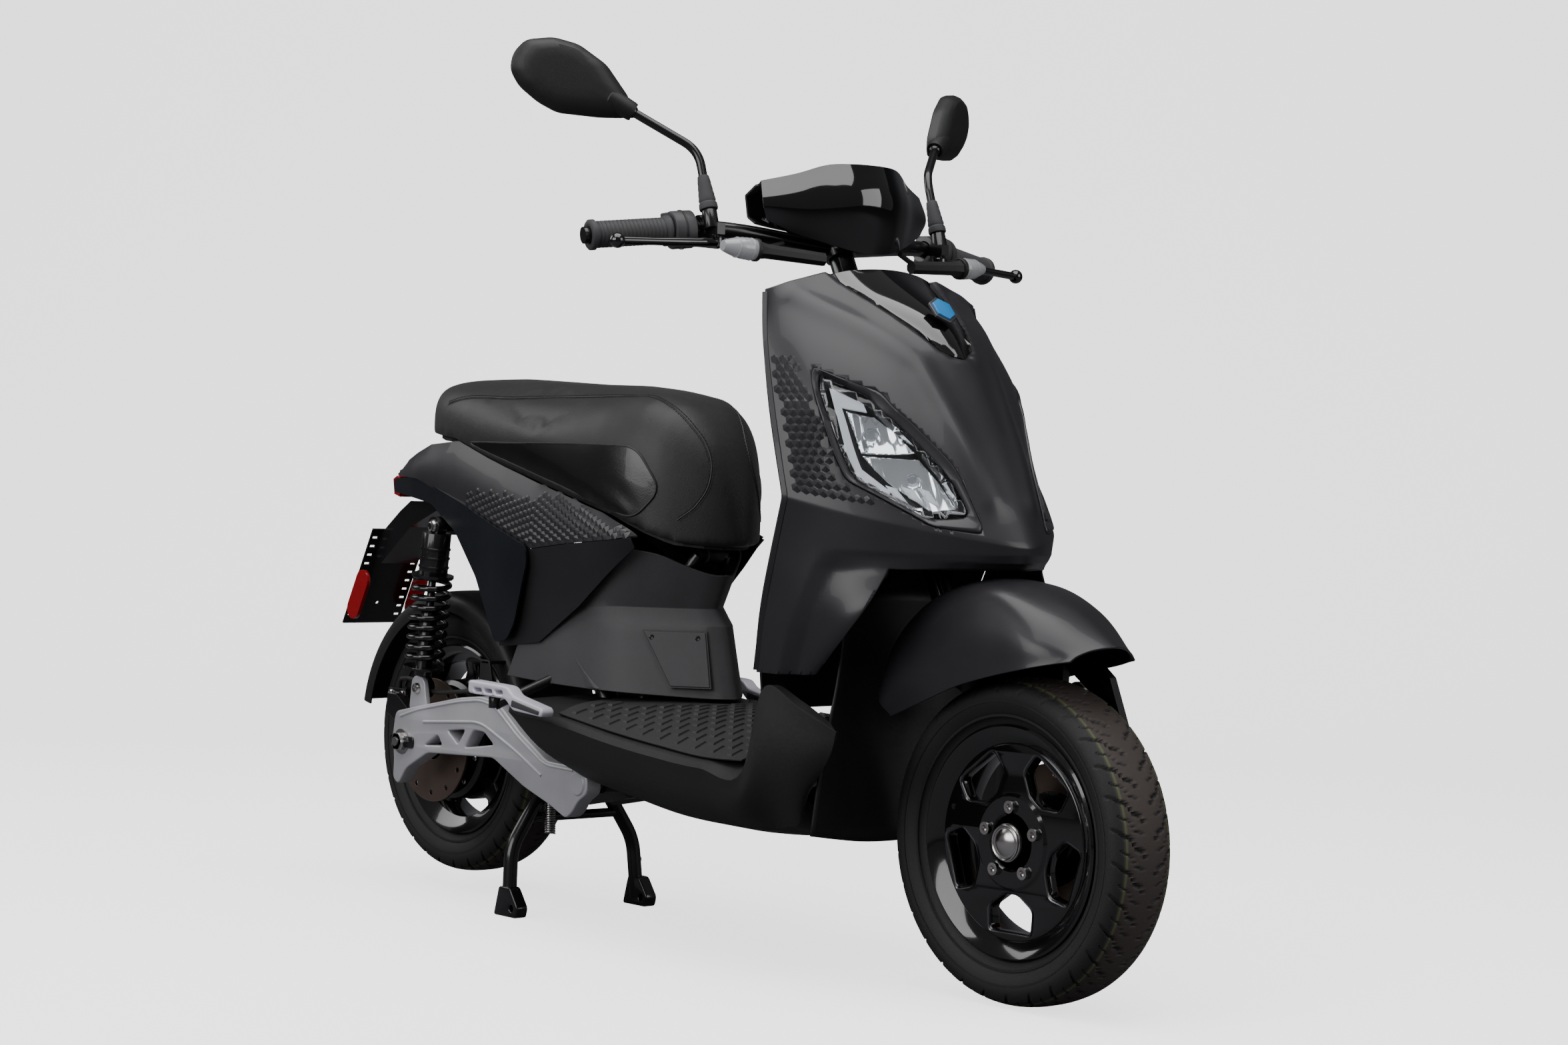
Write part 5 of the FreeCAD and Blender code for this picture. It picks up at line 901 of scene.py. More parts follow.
def build_tail():
    for side in (-1, 1):
        tag = "right" if side < 0 else "left"
        upper = [(-146, 645), (-100, 667), (-9, 691), (87, 696), (181, 671), (275, 648), (392, 618), (472, 596),
                 (546, 566), (500, 559), (410, 551), (326, 541), (267, 559), (134, 598), (-30, 637)]
        skin = wall_patch("side_panel_upper_" + tag, upper, upper_reach, PAINT, "chassis", side=side, angle=30,
                          replaces=["side_panels"] if side > 0 else (), slot="body_satin")
        thicken(skin, 3, bevel=0.8)
        facet = [(220, 566), (267, 556), (326, 540), (410, 550), (500, 558), (540, 562), (536, 549), (480, 505),
                 (428, 462), (386, 436), (338, 406), (266, 397), (234, 395), (222, 430)]
        # The lower facet below the ridge faces downwards and gets the darker copy of the body paint: painted shade.
        skin = wall_patch("side_panel_facet_" + tag, facet, facet_reach, PAINT_SHADE, "chassis", side=side, angle=30)
        thicken(skin, 3, bevel=0.8)
        blade = wall_patch("tail_blade_" + tag, fillet(BLADE, 10, 3), blade_reach, TAIL_PAINT, "chassis", side=side,
                           angle=30, replaces=["outer_panels"] if side > 0 else (), slot="tail_satin")
        thicken(blade, 3, bevel=1.0)
        build_side_scales(side, tag)
        build_inner_tail(side, tag)
    dress("tail_cover", DARK_PLASTIC, 1.0)
    strip = net([[(-150, 34, 654), (-152, 0, 656), (-150, -34, 654)], [(-60, 44, 674), (-60, 0, 677), (-60, -44, 674)]],
                6, 6)
    sheet("tail_strip", strip, GREY_PLASTIC, "chassis", 2.0, 1.0, bevel=0.6)
    dress("tail_light", RED, 1.2)
    dress("plate_bracket", BLACK_METAL, 0.7)
    dress("side_reflectors", RED, 1.2)
    dress("battery", DARK_PLASTIC, 4.0)


def build_side_scales(side, tag):
    """Scales on the side panel that are largest along its lower ridge."""
    points, faces = [], []
    for i in range(42):
        x = 144 + i * 9.6
        ridge, top = read_line(SIDE_RIDGE, x), read_line(SIDE_TOP, x)
        for j in range(12):
            z = ridge + 6 + j * 10.6 + (i % 2) * 5.3
            if z > top - 7 or x > 534:
                continue
            fade = max(0.0, 1 - j / (1.8 + 7.0 * min(1, max(0, (x - 150) / 250))))
            if fade < 0.12:
                continue
            first = len(points)
            for k in range(6):
                angle = math.radians(60 * k)
                a, b = x + 5.9 * math.cos(angle), z + 5.9 * math.sin(angle)
                points.append((a, (upper_reach(a, b) + 0.15) * side, b))
            points.append((x - 1.6, (upper_reach(x, z) + 0.4 + 2.2 * fade) * side, z + 2.4))
            faces += [(first + k, first + (k + 1) % 6, first + 6) for k in range(6)]
            faces.append(tuple(first + k for k in range(6)))
    from_data("side_scales_" + tag, points, faces, PAINT, "chassis", angle=5)


def build_inner_tail(side, tag):
    """Dark wall that closes the tail behind the blade."""
    outline = [(-140, 618), (-77, 613), (20, 597), (104, 560), (172, 504), (222, 450), (236, 560), (100, 620),
               (-60, 640), (-140, 632)]
    wall = wall_patch("tail_inner_" + tag, outline, lambda x, z: read_line(SIDE_PLAN, x) - 10, DARK_PLASTIC, "chassis",
                      side=side, step=20)
    thicken(wall, 2)


build_floor()
build_tail()


# ---------------------------------------------------------------- seat
CAMERA_PLACE = (3.27305, -2.63874, 0.63762)
SEAT_LOW = [(-78, 738), (-66, 722), (-40, 710), (20, 704), (87, 700), (181, 675), (275, 652), (392, 622),
            (472, 600), (528, 576), (569, 560), (603, 553), (640, 552)]
SEAT_HIGH = [(-78, 745), (-72, 762), (-58, 774), (-40, 782), (-10, 788), (40, 790), (136, 787), (321, 777),
             (465, 773), (520, 766), (545, 757), (565, 742), (585, 720), (603, 694), (618, 664), (628, 635),
             (634, 605), (637, 575)]
SEAT_WIDE = [(-78, 14), (-72, 30), (-60, 46), (-45, 60), (-20, 80), (20, 103), (60, 115), (120, 124), (200, 129),
             (300, 130), (400, 128), (465, 124), (500, 118), (530, 110), (558, 97), (580, 80), (603, 58), (618, 42),
             (630, 24), (637, 10)]


def build_seat():
    marks = [-78, -76, -72, -64, -52, -36, -15] + list(range(10, 560, 30)) + [560, 575, 590, 603, 614, 622, 629, 634,
                                                                              637]
    arc = 28
    points, faces = [], []
    for x in marks:
        low, high, wide = (read_line(line, x) for line in (SEAT_LOW, SEAT_HIGH, SEAT_WIDE))
        for k in range(arc + 1):
            angle = math.pi * k / arc
            c, s = math.cos(angle), math.sin(angle)
            y = wide * math.copysign(abs(c) ** 0.62, c)
            z = low + (high - low) * abs(s) ** 0.52
            points.append((x, y, z))
    count = arc + 1
    faces = grid_faces(len(marks), count, closed=True)
    faces.append(tuple(range(count)))
    faces.append(tuple((len(marks) - 1) * count + k for k in reversed(range(count))))
    seat = from_data("seat_skin", points, faces, VINYL, "seat", angle=60, replaces=["seat_cushion"],
                     slot="seat_vinyl")
    skin = remesh(seat, 0.006)
    puff(skin)
    seat.data = skin.data
    bpy.data.objects.remove(skin)
    seat.data.polygons.foreach_set("use_smooth", [True] * len(seat.data.polygons))
    smooth = seat.modifiers.new("smooth", "SUBSURF")
    smooth.levels = smooth.render_levels = 1
    tree = BVHTree.FromPolygons([v.co.copy() for v in seat.data.vertices], [tuple(p.vertices) for p in seat.data.polygons])
    build_seams(tree)
    dress("seat_base", DARK_PLASTIC, 1.0)


def applied(obj, name):
    view = bpy.context.evaluated_depsgraph_get()
    view.update()
    mesh = bpy.data.meshes.new_from_object(obj.evaluated_get(view))
    copy = bpy.data.objects.new(name, mesh)
    bpy.context.scene.collection.objects.link(copy)
    return copy


def remesh(obj, size):
    grain = obj.modifiers.new("grain", "REMESH")
    grain.mode = "VOXEL"
    grain.voxel_size = size
    even_out = obj.modifiers.new("even", "SMOOTH")
    even_out.iterations = 6
    even_out.factor = 0.5
    result = applied(obj, "seat_work")
    obj.modifiers.clear()
    return result


def puff(obj):
    """Short pressure simulation that rounds the cushion between its pinned lower edge."""
    rest = np.array([v.co for v in obj.data.vertices])
    pins = obj.vertex_groups.new(name="pins")
    for v in obj.data.vertices:
        x = (v.co.x - REAR_AXLE_X) * 1000
        low = read_line(SEAT_LOW, x)
        weight = 1.0 if v.co.z * 1000 < low + 9 else 0.0
        if weight:
            pins.add([v.index], weight, "REPLACE")
    cloth = obj.modifiers.new("cloth", "CLOTH")
    cloth.settings.vertex_group_mass = "pins"
    cloth.settings.use_pressure = True
    cloth.settings.uniform_pressure_force = 4
    cloth.settings.effector_weights.gravity = 0
    cloth.settings.quality = 4
    cloth.settings.tension_stiffness = 40
    cloth.settings.bending_stiffness = 8
    cloth.point_cache.frame_start, cloth.point_cache.frame_end = 1, 20
    scene = bpy.context.scene
    for number in range(1, 21):
        scene.frame_set(number)
        bpy.context.view_layer.update()
    done = applied(obj, "seat_puffed")
    moved = np.array([v.co for v in done.data.vertices])
    scene.frame_set(1)
    obj.modifiers.clear()
    shift = moved - rest
    size = np.linalg.norm(shift, axis=1, keepdims=True)
    capped = rest + shift * np.minimum(1, 0.006 / np.maximum(size, 1e-9))
    obj.data.vertices.foreach_set("co", capped.astype(np.float32).ravel())
    obj.data.update()
    bpy.data.objects.remove(done)


def seat_point(tree, x, y, z, away):
    """Point of the seat met when looking from outside along away towards x, y, z."""
    away = Vector(away).normalized()
    start = at(x, y, z) + away * 0.4
    hit = tree.ray_cast(start, -away)
    return hit[0], hit[1]


def seam(name, line, gap=5.0):
    """Dark tube as painted shade along a groove, with a row of stitches at each side of a line of surface points and
    normals.
    """
    points, faces = [], []
    stitch_points, stitch_faces = [], []
    run = 0.0
    for i in range(len(line) - 1):
        (a, n), (b, m) = line[i], line[i + 1]
        along = (b - a)
        length = along.length
        if length < 1e-6:
            continue
        along.normalize()
        across = along.cross(n).normalized()
        while run < length:
            middle = a + along * run
            for shift in (-0.0030, 0.0030):
                stitch(stitch_points, stitch_faces, middle + across * shift + n * 0.0004, along, across, n)
            run += gap * 0.001
        run -= length
    to_mm = [((p.x - REAR_AXLE_X) * 1000, p.y * 1000, p.z * 1000) for p in stitch_points]
    from_data(name + "_stitches", to_mm, stitch_faces, THREAD, "seat", angle=30)
    # Thin dark tube laid along the seam: painted shade in the groove.
    groove = [((p.x - REAR_AXLE_X) * 1000, p.y * 1000, p.z * 1000) for p, n in line]
    tube(name + "_groove_shade", groove, 1.1, PAINT_SHADE, "seat", bend=0, segments=8)


def stitch(points, faces, centre, along, across, up):
    first = len(points)
    for a in (-0.0017, 0.0017):
        for b, c in ((-0.0005, 0), (0.0005, 0), (0.0003, 0.0007), (-0.0003, 0.0007)):
            points.append(centre + along * a + across * b + up * c)
    faces += [(first, first + 1, first + 2, first + 3), (first + 7, first + 6, first + 5, first + 4)]
    for k in range(4):
        m = (k + 1) % 4
        faces.append((first + k, first + 4 + k, first + 4 + m, first + m))


SIDE_INSERT = [(141, 694), (265, 693), (400, 693), (527, 690), (567, 631), (530, 588), (392, 630), (275, 660),
               (181, 683)]
SEAM_LINE = [(110, 752), (129, 756), (280, 758), (440, 759), (560, 759), (607, 758), (655, 742), (696, 717),
             (725, 692), (737, 668), (733, 640), (708, 612), (666, 590)]


def build_seams(tree):
    for side in (-1, 1):
        tag = "right" if side < 0 else "left"
        eye = Vector((CAMERA_PLACE[0], -CAMERA_PLACE[1] * side, CAMERA_PLACE[2]))
        line = []
        for x, z, _ in spline([(px, pz, 0.0) for px, pz in SEAM_LINE], 10):
            aim = at(x, 140 * side, z)
            hit = tree.ray_cast(eye, (aim - eye).normalized())
            if hit[0] is not None:
                line.append((hit[0], hit[1]))
        seam("seam_" + tag, line)
    for side in (-1, 1):
        tag = "right" if side < 0 else "left"

        def reach(x, z):
            point, normal = seat_point(tree, x, 0, z, (0, side, 0))
            if point is None:
                return read_line(SEAT_WIDE, x)
            return abs(point.y) * 1000 + 0.8

        insert = wall_patch("seat_insert_" + tag, fillet(SIDE_INSERT, 22, 5), reach, VINYL_GLOSS, "seat", step=7,
                            side=side, angle=60)
        thicken(insert, 1.2, offset=1.0, bevel=0.4)
        ring = fillet(SIDE_INSERT, 22, 5)
        ring = [(x, (reach(x, z) + 0.4) * side, z) for x, z in ring + ring[:1]]
        tube("insert_piping_" + tag, ring, 1.6, VINYL, "seat", bend=0, segments=8)


build_seat()


# ---------------------------------------------------------------- wheels
def stack(name, rings, mat, body, **options):
    """Closed solid through rings of equally many points."""
    count = len(rings[0])
    points = [p for ring in rings for p in ring]
    faces = grid_faces(len(rings), count, closed=True)
    faces.append(list(range(count))[::-1])
    faces.append([(len(rings) - 1) * count + k for k in range(count)])
    return from_data(name, points, faces, mat, body, **options)


TYRE_SECTION = [(-33, 142), (-36, 152), (-43, 160), (-48.5, 171), (-50, 183), (-47.5, 191), (-43, 196.5),
                (-34, 201), (-20, 204), (0, 205), (20, 204), (34, 201), (43, 196.5), (47.5, 191), (50, 183),
                (48.5, 171), (43, 160), (36, 152), (33, 142)]
TREAD_BEND = ([8, 16, 24, 32, 40, 50], [0.0, 0.25, 0.30, 0.62, 0.68, 0.95])
TREAD_STEP = math.radians(12)


def ramped(value, low, high):
    share = min(1.0, max(0.0, (value - low) / (high - low)))
    return share * share * (3 - 2 * share)


def groove_depth(angle, y):
    """Depth of the zig-zag grooves and the fine sipes between them."""
    reach = abs(y)
    if reach < 6.5 or reach > 50:
        return 0.0
    phase = float(np.interp(reach, *TREAD_BEND)) + (0.5 if y > 0 else 0.0)
    turns = angle / TREAD_STEP - phase
    pitch = TREAD_STEP * 205
    main = abs(turns - round(turns)) * pitch
    fine = abs(turns + 0.5 - round(turns + 0.5)) * pitch
    depth = 3.2 * ramped(main, 3.0, 1.6)
    if 14 < reach < 44:
        depth = max(depth, 1.8 * ramped(fine, 1.7, 0.7))
    return depth * ramped(reach, 6.5, 9.5) * ramped(reach, 50, 47)


def build_tyre(name, centre, body, node):
    section = spline([(y, r, 0.0) for y, r in TYRE_SECTION], 4)
    inner = [(28, 148), (30, 160), (40, 176), (38, 188), (22, 194), (0, 195), (-22, 194), (-38, 188), (-40, 176),
             (-30, 160), (-28, 148)]
    profile = [(p[0], p[1]) for p in section] + inner
    count = 1080
    points, crown, line = [], [], []
    for k in range(count):
        angle = 2 * math.pi * k / count
        for y, r in profile:
            sunk = groove_depth(angle, y) if r > 180 and (y, r) not in inner else 0.0
            r -= sunk
            points.append((centre[0] + r * math.cos(angle), y, centre[2] + r * math.sin(angle)))
            crown.append(0.75 * ramped(46 - abs(y), 0, 12) if r > 198 and sunk < 0.6 else 0.0)
            line.append(0.8 if r > 196 and abs(abs(y) - 35.5) < 1.0 and sunk < 0.5 else 0.0)
    faces = grid_faces(count, len(profile), closed=True)
    last = (count - 1) * len(profile)
    for j in range(len(profile)):
        m = (j + 1) % len(profile)
        faces.append((last + j, last + m, m, j))
    mesh = bpy.data.meshes.new(name)
    mesh.from_pydata([at(*p) for p in points], [], faces)
    for title, values in (("crown", crown), ("line", line)):
        layer = mesh.attributes.new(title, "FLOAT", "POINT")
        layer.data.foreach_set("value", values)
    mesh.update()
    obj = bpy.data.objects.new(name, mesh)
    bpy.context.scene.collection.objects.link(obj)
    piece(obj, TYRE_WORN, body, angle=40, replaces=(node,))
    for side in (-1, 1):
        for radius, width in ((158, 1.6), (176, 1.2)):
            y = float(np.interp(radius, [160, 171, 183], [43, 48.5, 50]) + 0.2) * side
            ring = [(radius - width, y - 1), (radius - width * 0.5, y + 0.9 * side), (radius + width * 0.5, y + 0.9 * side),
                    (radius + width, y - 1)]
            lathe("%s_ridge_%s_%d" % (name, "left" if side > 0 else "right", radius), ring, centre, RUBBER, body,
                  segments=128)


RIM_SECTION = [(147, 38), (144.5, 33.5), (136, 29), (127, 20), (125, 0), (127, -20), (136, -29), (144.5, -33.5),
               (147, -38), (144, -40), (140, -38.5), (131, -34), (121, -27), (116, -12), (116, 12), (121, 27),
               (131, 34), (140, 38.5), (144, 40)]


def polar(radius, degrees):
    angle = math.radians(degrees)
    return (radius * math.cos(angle), radius * math.sin(angle))


def build_front_wheel():
    body = "front_wheel"
    lathe("front_rim_ring", RIM_SECTION, FRONT_AXLE, WHEEL_BLACK, body, segments=160, replaces=("front_rim",))
    windows = []
    for k in range(5):
        middle = 72 * k + 126
        corners = [polar(66, middle - 9), polar(90, middle - 24), polar(117, middle - 17), polar(117, middle + 17),
                   polar(90, middle + 24), polar(66, middle + 9)]
        windows.append(fillet(corners, 7, 4))
    plate("front_spoke_plate", disc_outline(123, 120), windows, 18, WHEEL_BLACK, body, bevel=2.5,
          origin=(FRONT_AXLE[0], -21, FRONT_AXLE[2]))
    for k, window in enumerate(windows):
        mid_x = sum(p[0] for p in window) / len(window)
        mid_z = sum(p[1] for p in window) / len(window)
        grown = [(mid_x + (x - mid_x) * 1.10, mid_z + (z - mid_z) * 1.10) for x, z in window]
        rings = []
        for loop, y in ((grown, -31.2), (window, -27.5), (window, -25.5), (grown, -28.5)):
            rings.append([(FRONT_AXLE[0] + x, y, FRONT_AXLE[2] + z) for x, z in loop])
        points = [p for ring in rings for p in ring]
        size = len(window)
        faces = grid_faces(4, size, closed=True)
        faces += [(3 * size + j, 3 * size + (j + 1) % size, (j + 1) % size, j) for j in range(size)]
        from_data("front_facet_%d" % k, points, faces, WHEEL_BEVEL, body, angle=40)
    hub = [(0, -30), (34, -30), (37, -33), (57, -33), (61, -30), (63, -20), (66, -12), (52, 8), (46, 24), (40, 30), (0, 30)]
    lathe("front_hub", hub, FRONT_AXLE, WHEEL_BLACK, body, segments=96)
    dress("front_brake_disc", DISC_STEEL, 0.4)
    dress("wheel_fasteners", BRIGHT, 0.7)
    cap = [(0, -48.5), (6, -48.2), (12, -46.5), (17.5, -43), (18, -40), (0, -40)]
    lathe("front_cap_dome", cap, FRONT_AXLE, BRIGHT, body, segments=48)
    rings = [(20, -43.2), (21.5, -44.2), (23, -43.2), (23, -41.5), (20, -41.5)]
    lathe("front_cap_ring", rings, FRONT_AXLE, BRIGHT, body, segments=64)
    x, z = polar(127, 162)
    tube("front_valve", [(FRONT_AXLE[0] + x, -14, FRONT_AXLE[2] + z), (FRONT_AXLE[0] + x * 0.86, -30, FRONT_AXLE[2] + z * 0.86)],
         4, RUBBER, body, bend=0, segments=16)
    carrier = [(28, 30), (40, 30), (44, 41), (60, 41), (60, 43.5), (28, 43.5)]
    lathe("front_disc_carrier", carrier, FRONT_AXLE, BLACK_METAL, body, segments=64)
    build_tyre("front_tyre_tread", FRONT_AXLE, body, "front_tyre")


def build_rear_wheel():
    body = "rear_wheel"
    lathe("rear_rim_ring", RIM_SECTION, REAR_AXLE, WHEEL_BLACK, body, segments=160, replaces=("rear_hub_motor",))
    case = [(14, -53), (24, -53), (26, -49), (60, -49), (64, -52), (84, -52), (91, -47), (92, -40), (92, -14), (94.5, -12),
            (94.5, 12), (92, 14), (92, 40), (91, 47), (84, 52), (64, 52), (60, 49), (26, 49), (24, 53), (14, 53)]
    lathe("motor_case", case, REAR_AXLE, BLACK_METAL, body, segments=128)
    for k in range(5):
        angle = 72 * k + 90
        rings = []
        for radius, wide, deep in ((84, 24, 15), (104, 17, 13), (122, 22, 17)):
            ring = []
            for j in range(16):
                a = 2 * math.pi * j / 16
                across = wide * math.copysign(abs(math.cos(a)) ** 0.5, math.cos(a))
                y = deep * math.copysign(abs(math.sin(a)) ** 0.5, math.sin(a))
                x, z = polar(radius, angle)
                side_x, side_z = polar(across, angle + 90)
                ring.append((REAR_AXLE[0] + x + side_x, y, REAR_AXLE[2] + z + side_z))
            rings.append(ring)
        stack("rear_spoke_%d" % k, rings, WHEEL_BLACK, body, angle=45)
    for side in (-1, 1):
        for k in range(10):
            x, z = polar(76, 36 * k + 18)
            screw("case_screw_%s_%d" % ("left" if side > 0 else "right", k), (x, 51.6 * side, REAR_AXLE[2] + z), (0, side, 0),
                  4.2, BRIGHT, body, height=2.6)
    dress("rear_brake_disc", DISC_STEEL, 0.4)
    carrier = [(31, -52), (44, -52), (47, -77), (62, -77), (62, -79.3), (31, -79.3)]
    lathe("rear_disc_carrier", carrier, REAR_AXLE, BLACK_METAL, body, segments=64)
    build_tyre("rear_tyre_tread", REAR_AXLE, body, "rear_tyre")


build_front_wheel()
build_rear_wheel()


# ---------------------------------------------------------------- running gear
ARM_OUTLINE = [(-28, 240), (-20, 281), (26, 290), (150, 313), (207, 319), (249, 314), (307, 274), (376, 238), (452, 236),
               (473, 226), (474, 200), (452, 187), (439, 170), (424, 160), (385, 176), (320, 196), (241, 231), (69, 224),
               (12, 196), (-9, 169), (-24, 178), (-22, 210)]
ARM_WINDOWS = [[(61, 235), (96, 254), (109, 238)], [(122, 262), (169, 267), (150, 243)],
               [(168, 240), (190, 268), (217, 267), (243, 250)]]
SHOCK_TOP = (51, 116, 566)
SHOCK_BOTTOM = (18, 116, 318)


def build_swingarm():
    body = "rear_arm"
    windows = [fillet(w, 6, 4) for w in ARM_WINDOWS]
    for side in (-1, 1):
        tag = "left" if side > 0 else "right"
        outline = fillet(ARM_OUTLINE, 9, 4)
        plate("arm_blade_" + tag, outline, windows, 26, CAST_SILVER, body, bevel=2.5, origin=(0, 125 * side, 0),
              replaces=("swingarm",) if side < 0 else ())
        rib = [(58, 270), (208, 281), (300, 246), (364, 216)]
        tube("arm_rib_" + tag, [(x, 137.5 * side, z) for x, z in rib], 2.6, CAST_SILVER, body, bend=24, segments=12)
        tube("arm_rim_" + tag, [(x, 137.2 * side, z) for x, z in ((-6, 274), (40, 287), (150, 307), (207, 313), (244, 307),
                                                                  (302, 268), (372, 232), (440, 230))],
             2.4, CAST_SILVER, body, bend=16, segments=12)
        lug = fillet([(-4, 286), (44, 292), (36, 330), (26, 337), (10, 337), (2, 330)], 5, 4)
        plate("arm_lug_" + tag, lug, [], 8, CAST_SILVER, body, bevel=1.5, origin=(0, 120 * side, 0))
        screw("arm_shock_bolt_" + tag, (SHOCK_BOTTOM[0], 124 * side, SHOCK_BOTTOM[2]), (0, side, 0), 9, BRIGHT, body, 6)
        pivot = [(0, 0), (15, 0), (17, -2), (17, -8), (0, -8)]
        lathe("arm_pivot_cap_" + tag, pivot, (452, 140.5 * side, 212), CAST_SILVER, body, axis=(0, side, 0), segments=40)
        slot = fillet([(-30, -9), (34, -9), (34, 9), (-30, 9)], 8, 5)
        plate("arm_axle_plate_" + tag, slot, [], 3, BLACK_METAL, body, bevel=0.8, origin=(0, 139.2 * side, REAR_AXLE[2]))
        tube("chain_adjuster_" + tag, [(-34, 125 * side, REAR_AXLE[2]), (-20, 125 * side, REAR_AXLE[2])], 4, BRIGHT, body,
             bend=0, segments=16)
    block("arm_bridge", (34, 226, 28), (312, 0, 243), CAST_SILVER, body, bevel=5)
    dress("rear_axle", BRIGHT, 0.6)
    for side in (-1, 1):
        tag = "left" if side > 0 else "right"
        nut = [(14.5 * math.cos(math.radians(60 * k)), 14.5 * math.sin(math.radians(60 * k))) for k in range(6)]
        plate("axle_nut_" + tag, nut, [], 9, BRIGHT, body, bevel=1.2, origin=(0, 144.5 * side, REAR_AXLE[2]))
        lathe("axle_washer_" + tag, [(8, 0), (19, 0), (19, 1.6), (8, 1.6)], (0, 138.8 * side, REAR_AXLE[2]), BRIGHT, body,
              axis=(0, side, 0), segments=48)


def build_rear_caliper():
    body = "rear_arm"
    dress("rear_caliper", BLACK_METAL, 2.0)
    for k, (x, z) in enumerate(((-96, 303), (-64, 303))):
        screw("caliper_bolt_%d" % k, (x, -97, z), (0, -1, 0), 6, BRIGHT, body, 4)
    lathe("caliper_piston", [(0, 0), (12, 0), (14, -1.5), (14, -5), (0, -5)], (-80, -98.6, 288), BLACK_METAL, body,
          axis=(0, -1, 0), segments=40)
    tube("caliper_hose", [(-80, -92, 311), (-72, -96, 326), (-30, -104, 330), (40, -108, 312), (150, -109, 322),
                          (205, -108, 326)], 3.4, RUBBER, body, bend=18, segments=14)


def build_hugger():
    """Inner mudguard that follows the rear tyre."""
    rows = []
    for k in range(81):
        degrees = 8 + 160 * k / 80
        row = []
        for y, r in ((72, 199), (72.5, 212), (70, 221), (62, 226.5), (40, 229), (0, 230), (-40, 229), (-62, 226.5),
                     (-70, 221), (-72.5, 212), (-72, 199)):
            x, z = polar(r, degrees)
            row.append((x, y, REAR_AXLE[2] + z))
        rows.append(row)
    grid = spline(np.array(rows).transpose(1, 0, 2), 4).transpose(1, 0, 2)
    sheet("hugger_shell", grid, DARK_PLASTIC, "rear_arm", thick=3, bevel=0.8, replaces=("rear_hugger",))
    for side in (-1, 1):
        tag = "left" if side > 0 else "right"
        plate("hugger_stay_" + tag, fillet([(150, 319), (188, 319), (176, 370), (152, 370)], 6, 4), [], 4, DARK_PLASTIC,
              "rear_arm", bevel=0.8, origin=(0, 100 * side, 0))
        block("hugger_tie_" + tag, (20, 32, 5), (165, 86 * side, 366), DARK_PLASTIC, "rear_arm", bevel=1.4)
        screw("hugger_screw_" + tag, (166, 102 * side, 330), (0, side, 0), 5, BRIGHT, "rear_arm", 3)


def build_rear_shocks():
    dress("rear_shock_uppers", BLACK_METAL, 0.8)
    dress("rear_shock_lowers", BLACK_METAL, 0.8)
    for side in (-1, 1):
        tag = "left" if side > 0 else "right"
        top, bottom = Vector(sided(SHOCK_TOP, side)), Vector(sided(SHOCK_BOTTOM, side))
        axis = (top - bottom).normalized()
        length = (top - bottom).length
        spring = coil("rear_coil_" + tag, bottom + axis * 40, axis, length - 122, 27, 4.2, 8.5, SPRING_PAINT,
                      "rear_damper_tops", replaces=("rear_springs",) if side < 0 else ())
        compress(spring)
        cup = [(22.3, 0), (30, 0), (32, 2), (32, 6), (22.3, 6)]
        lathe("shock_cup_" + tag, cup, bottom + axis * (length - 80), BLACK_METAL, "rear_damper_tops", axis=axis, segments=64)
        for k in range(3):
            ring = [(22.2, 0), (23.4, 0.8), (23.4, 3.2), (22.2, 4)]
            lathe("shock_ring_%s_%d" % (tag, k), ring, bottom + axis * (length - 64 + k * 14), BLACK_METAL,
                  "rear_damper_tops", axis=axis, segments=64)
        screw("shock_top_bolt_" + tag, (SHOCK_TOP[0], 124.5 * side, SHOCK_TOP[2]), (0, side, 0), 10, BRIGHT,
              "rear_damper_tops", 6)


def build_stand():
    body = "stand"
    tube("stand_cross_tube", [(256, -64, 176), (256, 64, 176)], 11, BLACK_METAL, body, bend=0, segments=32,
         replaces=("centre_stand",))
    for side in (-1, 1):
        tag = "left" if side > 0 else "right"
        tube("stand_leg_" + tag, [(256, 60 * side, 176), (257, 84 * side, 142), (258, 112 * side, 100), (264, 118 * side, 12)],
             10.5, BLACK_METAL, body, bend=22, segments=28)
        foot = fillet([(240, 0.6), (296, 0.6), (300, 16), (279, 44), (252, 44)], 5, 4)
        plate("stand_foot_" + tag, foot, [disc_outline(5, 20, (284, 14))], 20, BLACK_METAL, body, bevel=2,
              origin=(0, 119 * side, 0))
        plate("stand_ear_" + tag, fillet([(244, 160), (268, 160), (270, 190), (243, 190)], 8, 4), [], 5, BLACK_METAL, body,
              bevel=1, origin=(0, 58 * side, 0))
    tube("stand_tang_bar", [(260, 117, 72), (243, 134, 66), (222, 150, 61)], 6.5, BLACK_METAL, body, bend=8, segments=20,
         taper=[(0, 6.5), (0.8, 6.5), (1, 5)])
    tube("stand_brace", [(257, -84, 142), (257, 84, 142)], 7, BLACK_METAL, body, bend=0, segments=20)
    coil("stand_return_coil", (268, -50, 118), (-0.1, 0.05, 1), 44, 7, 1.6, 13, BRIGHT, body)


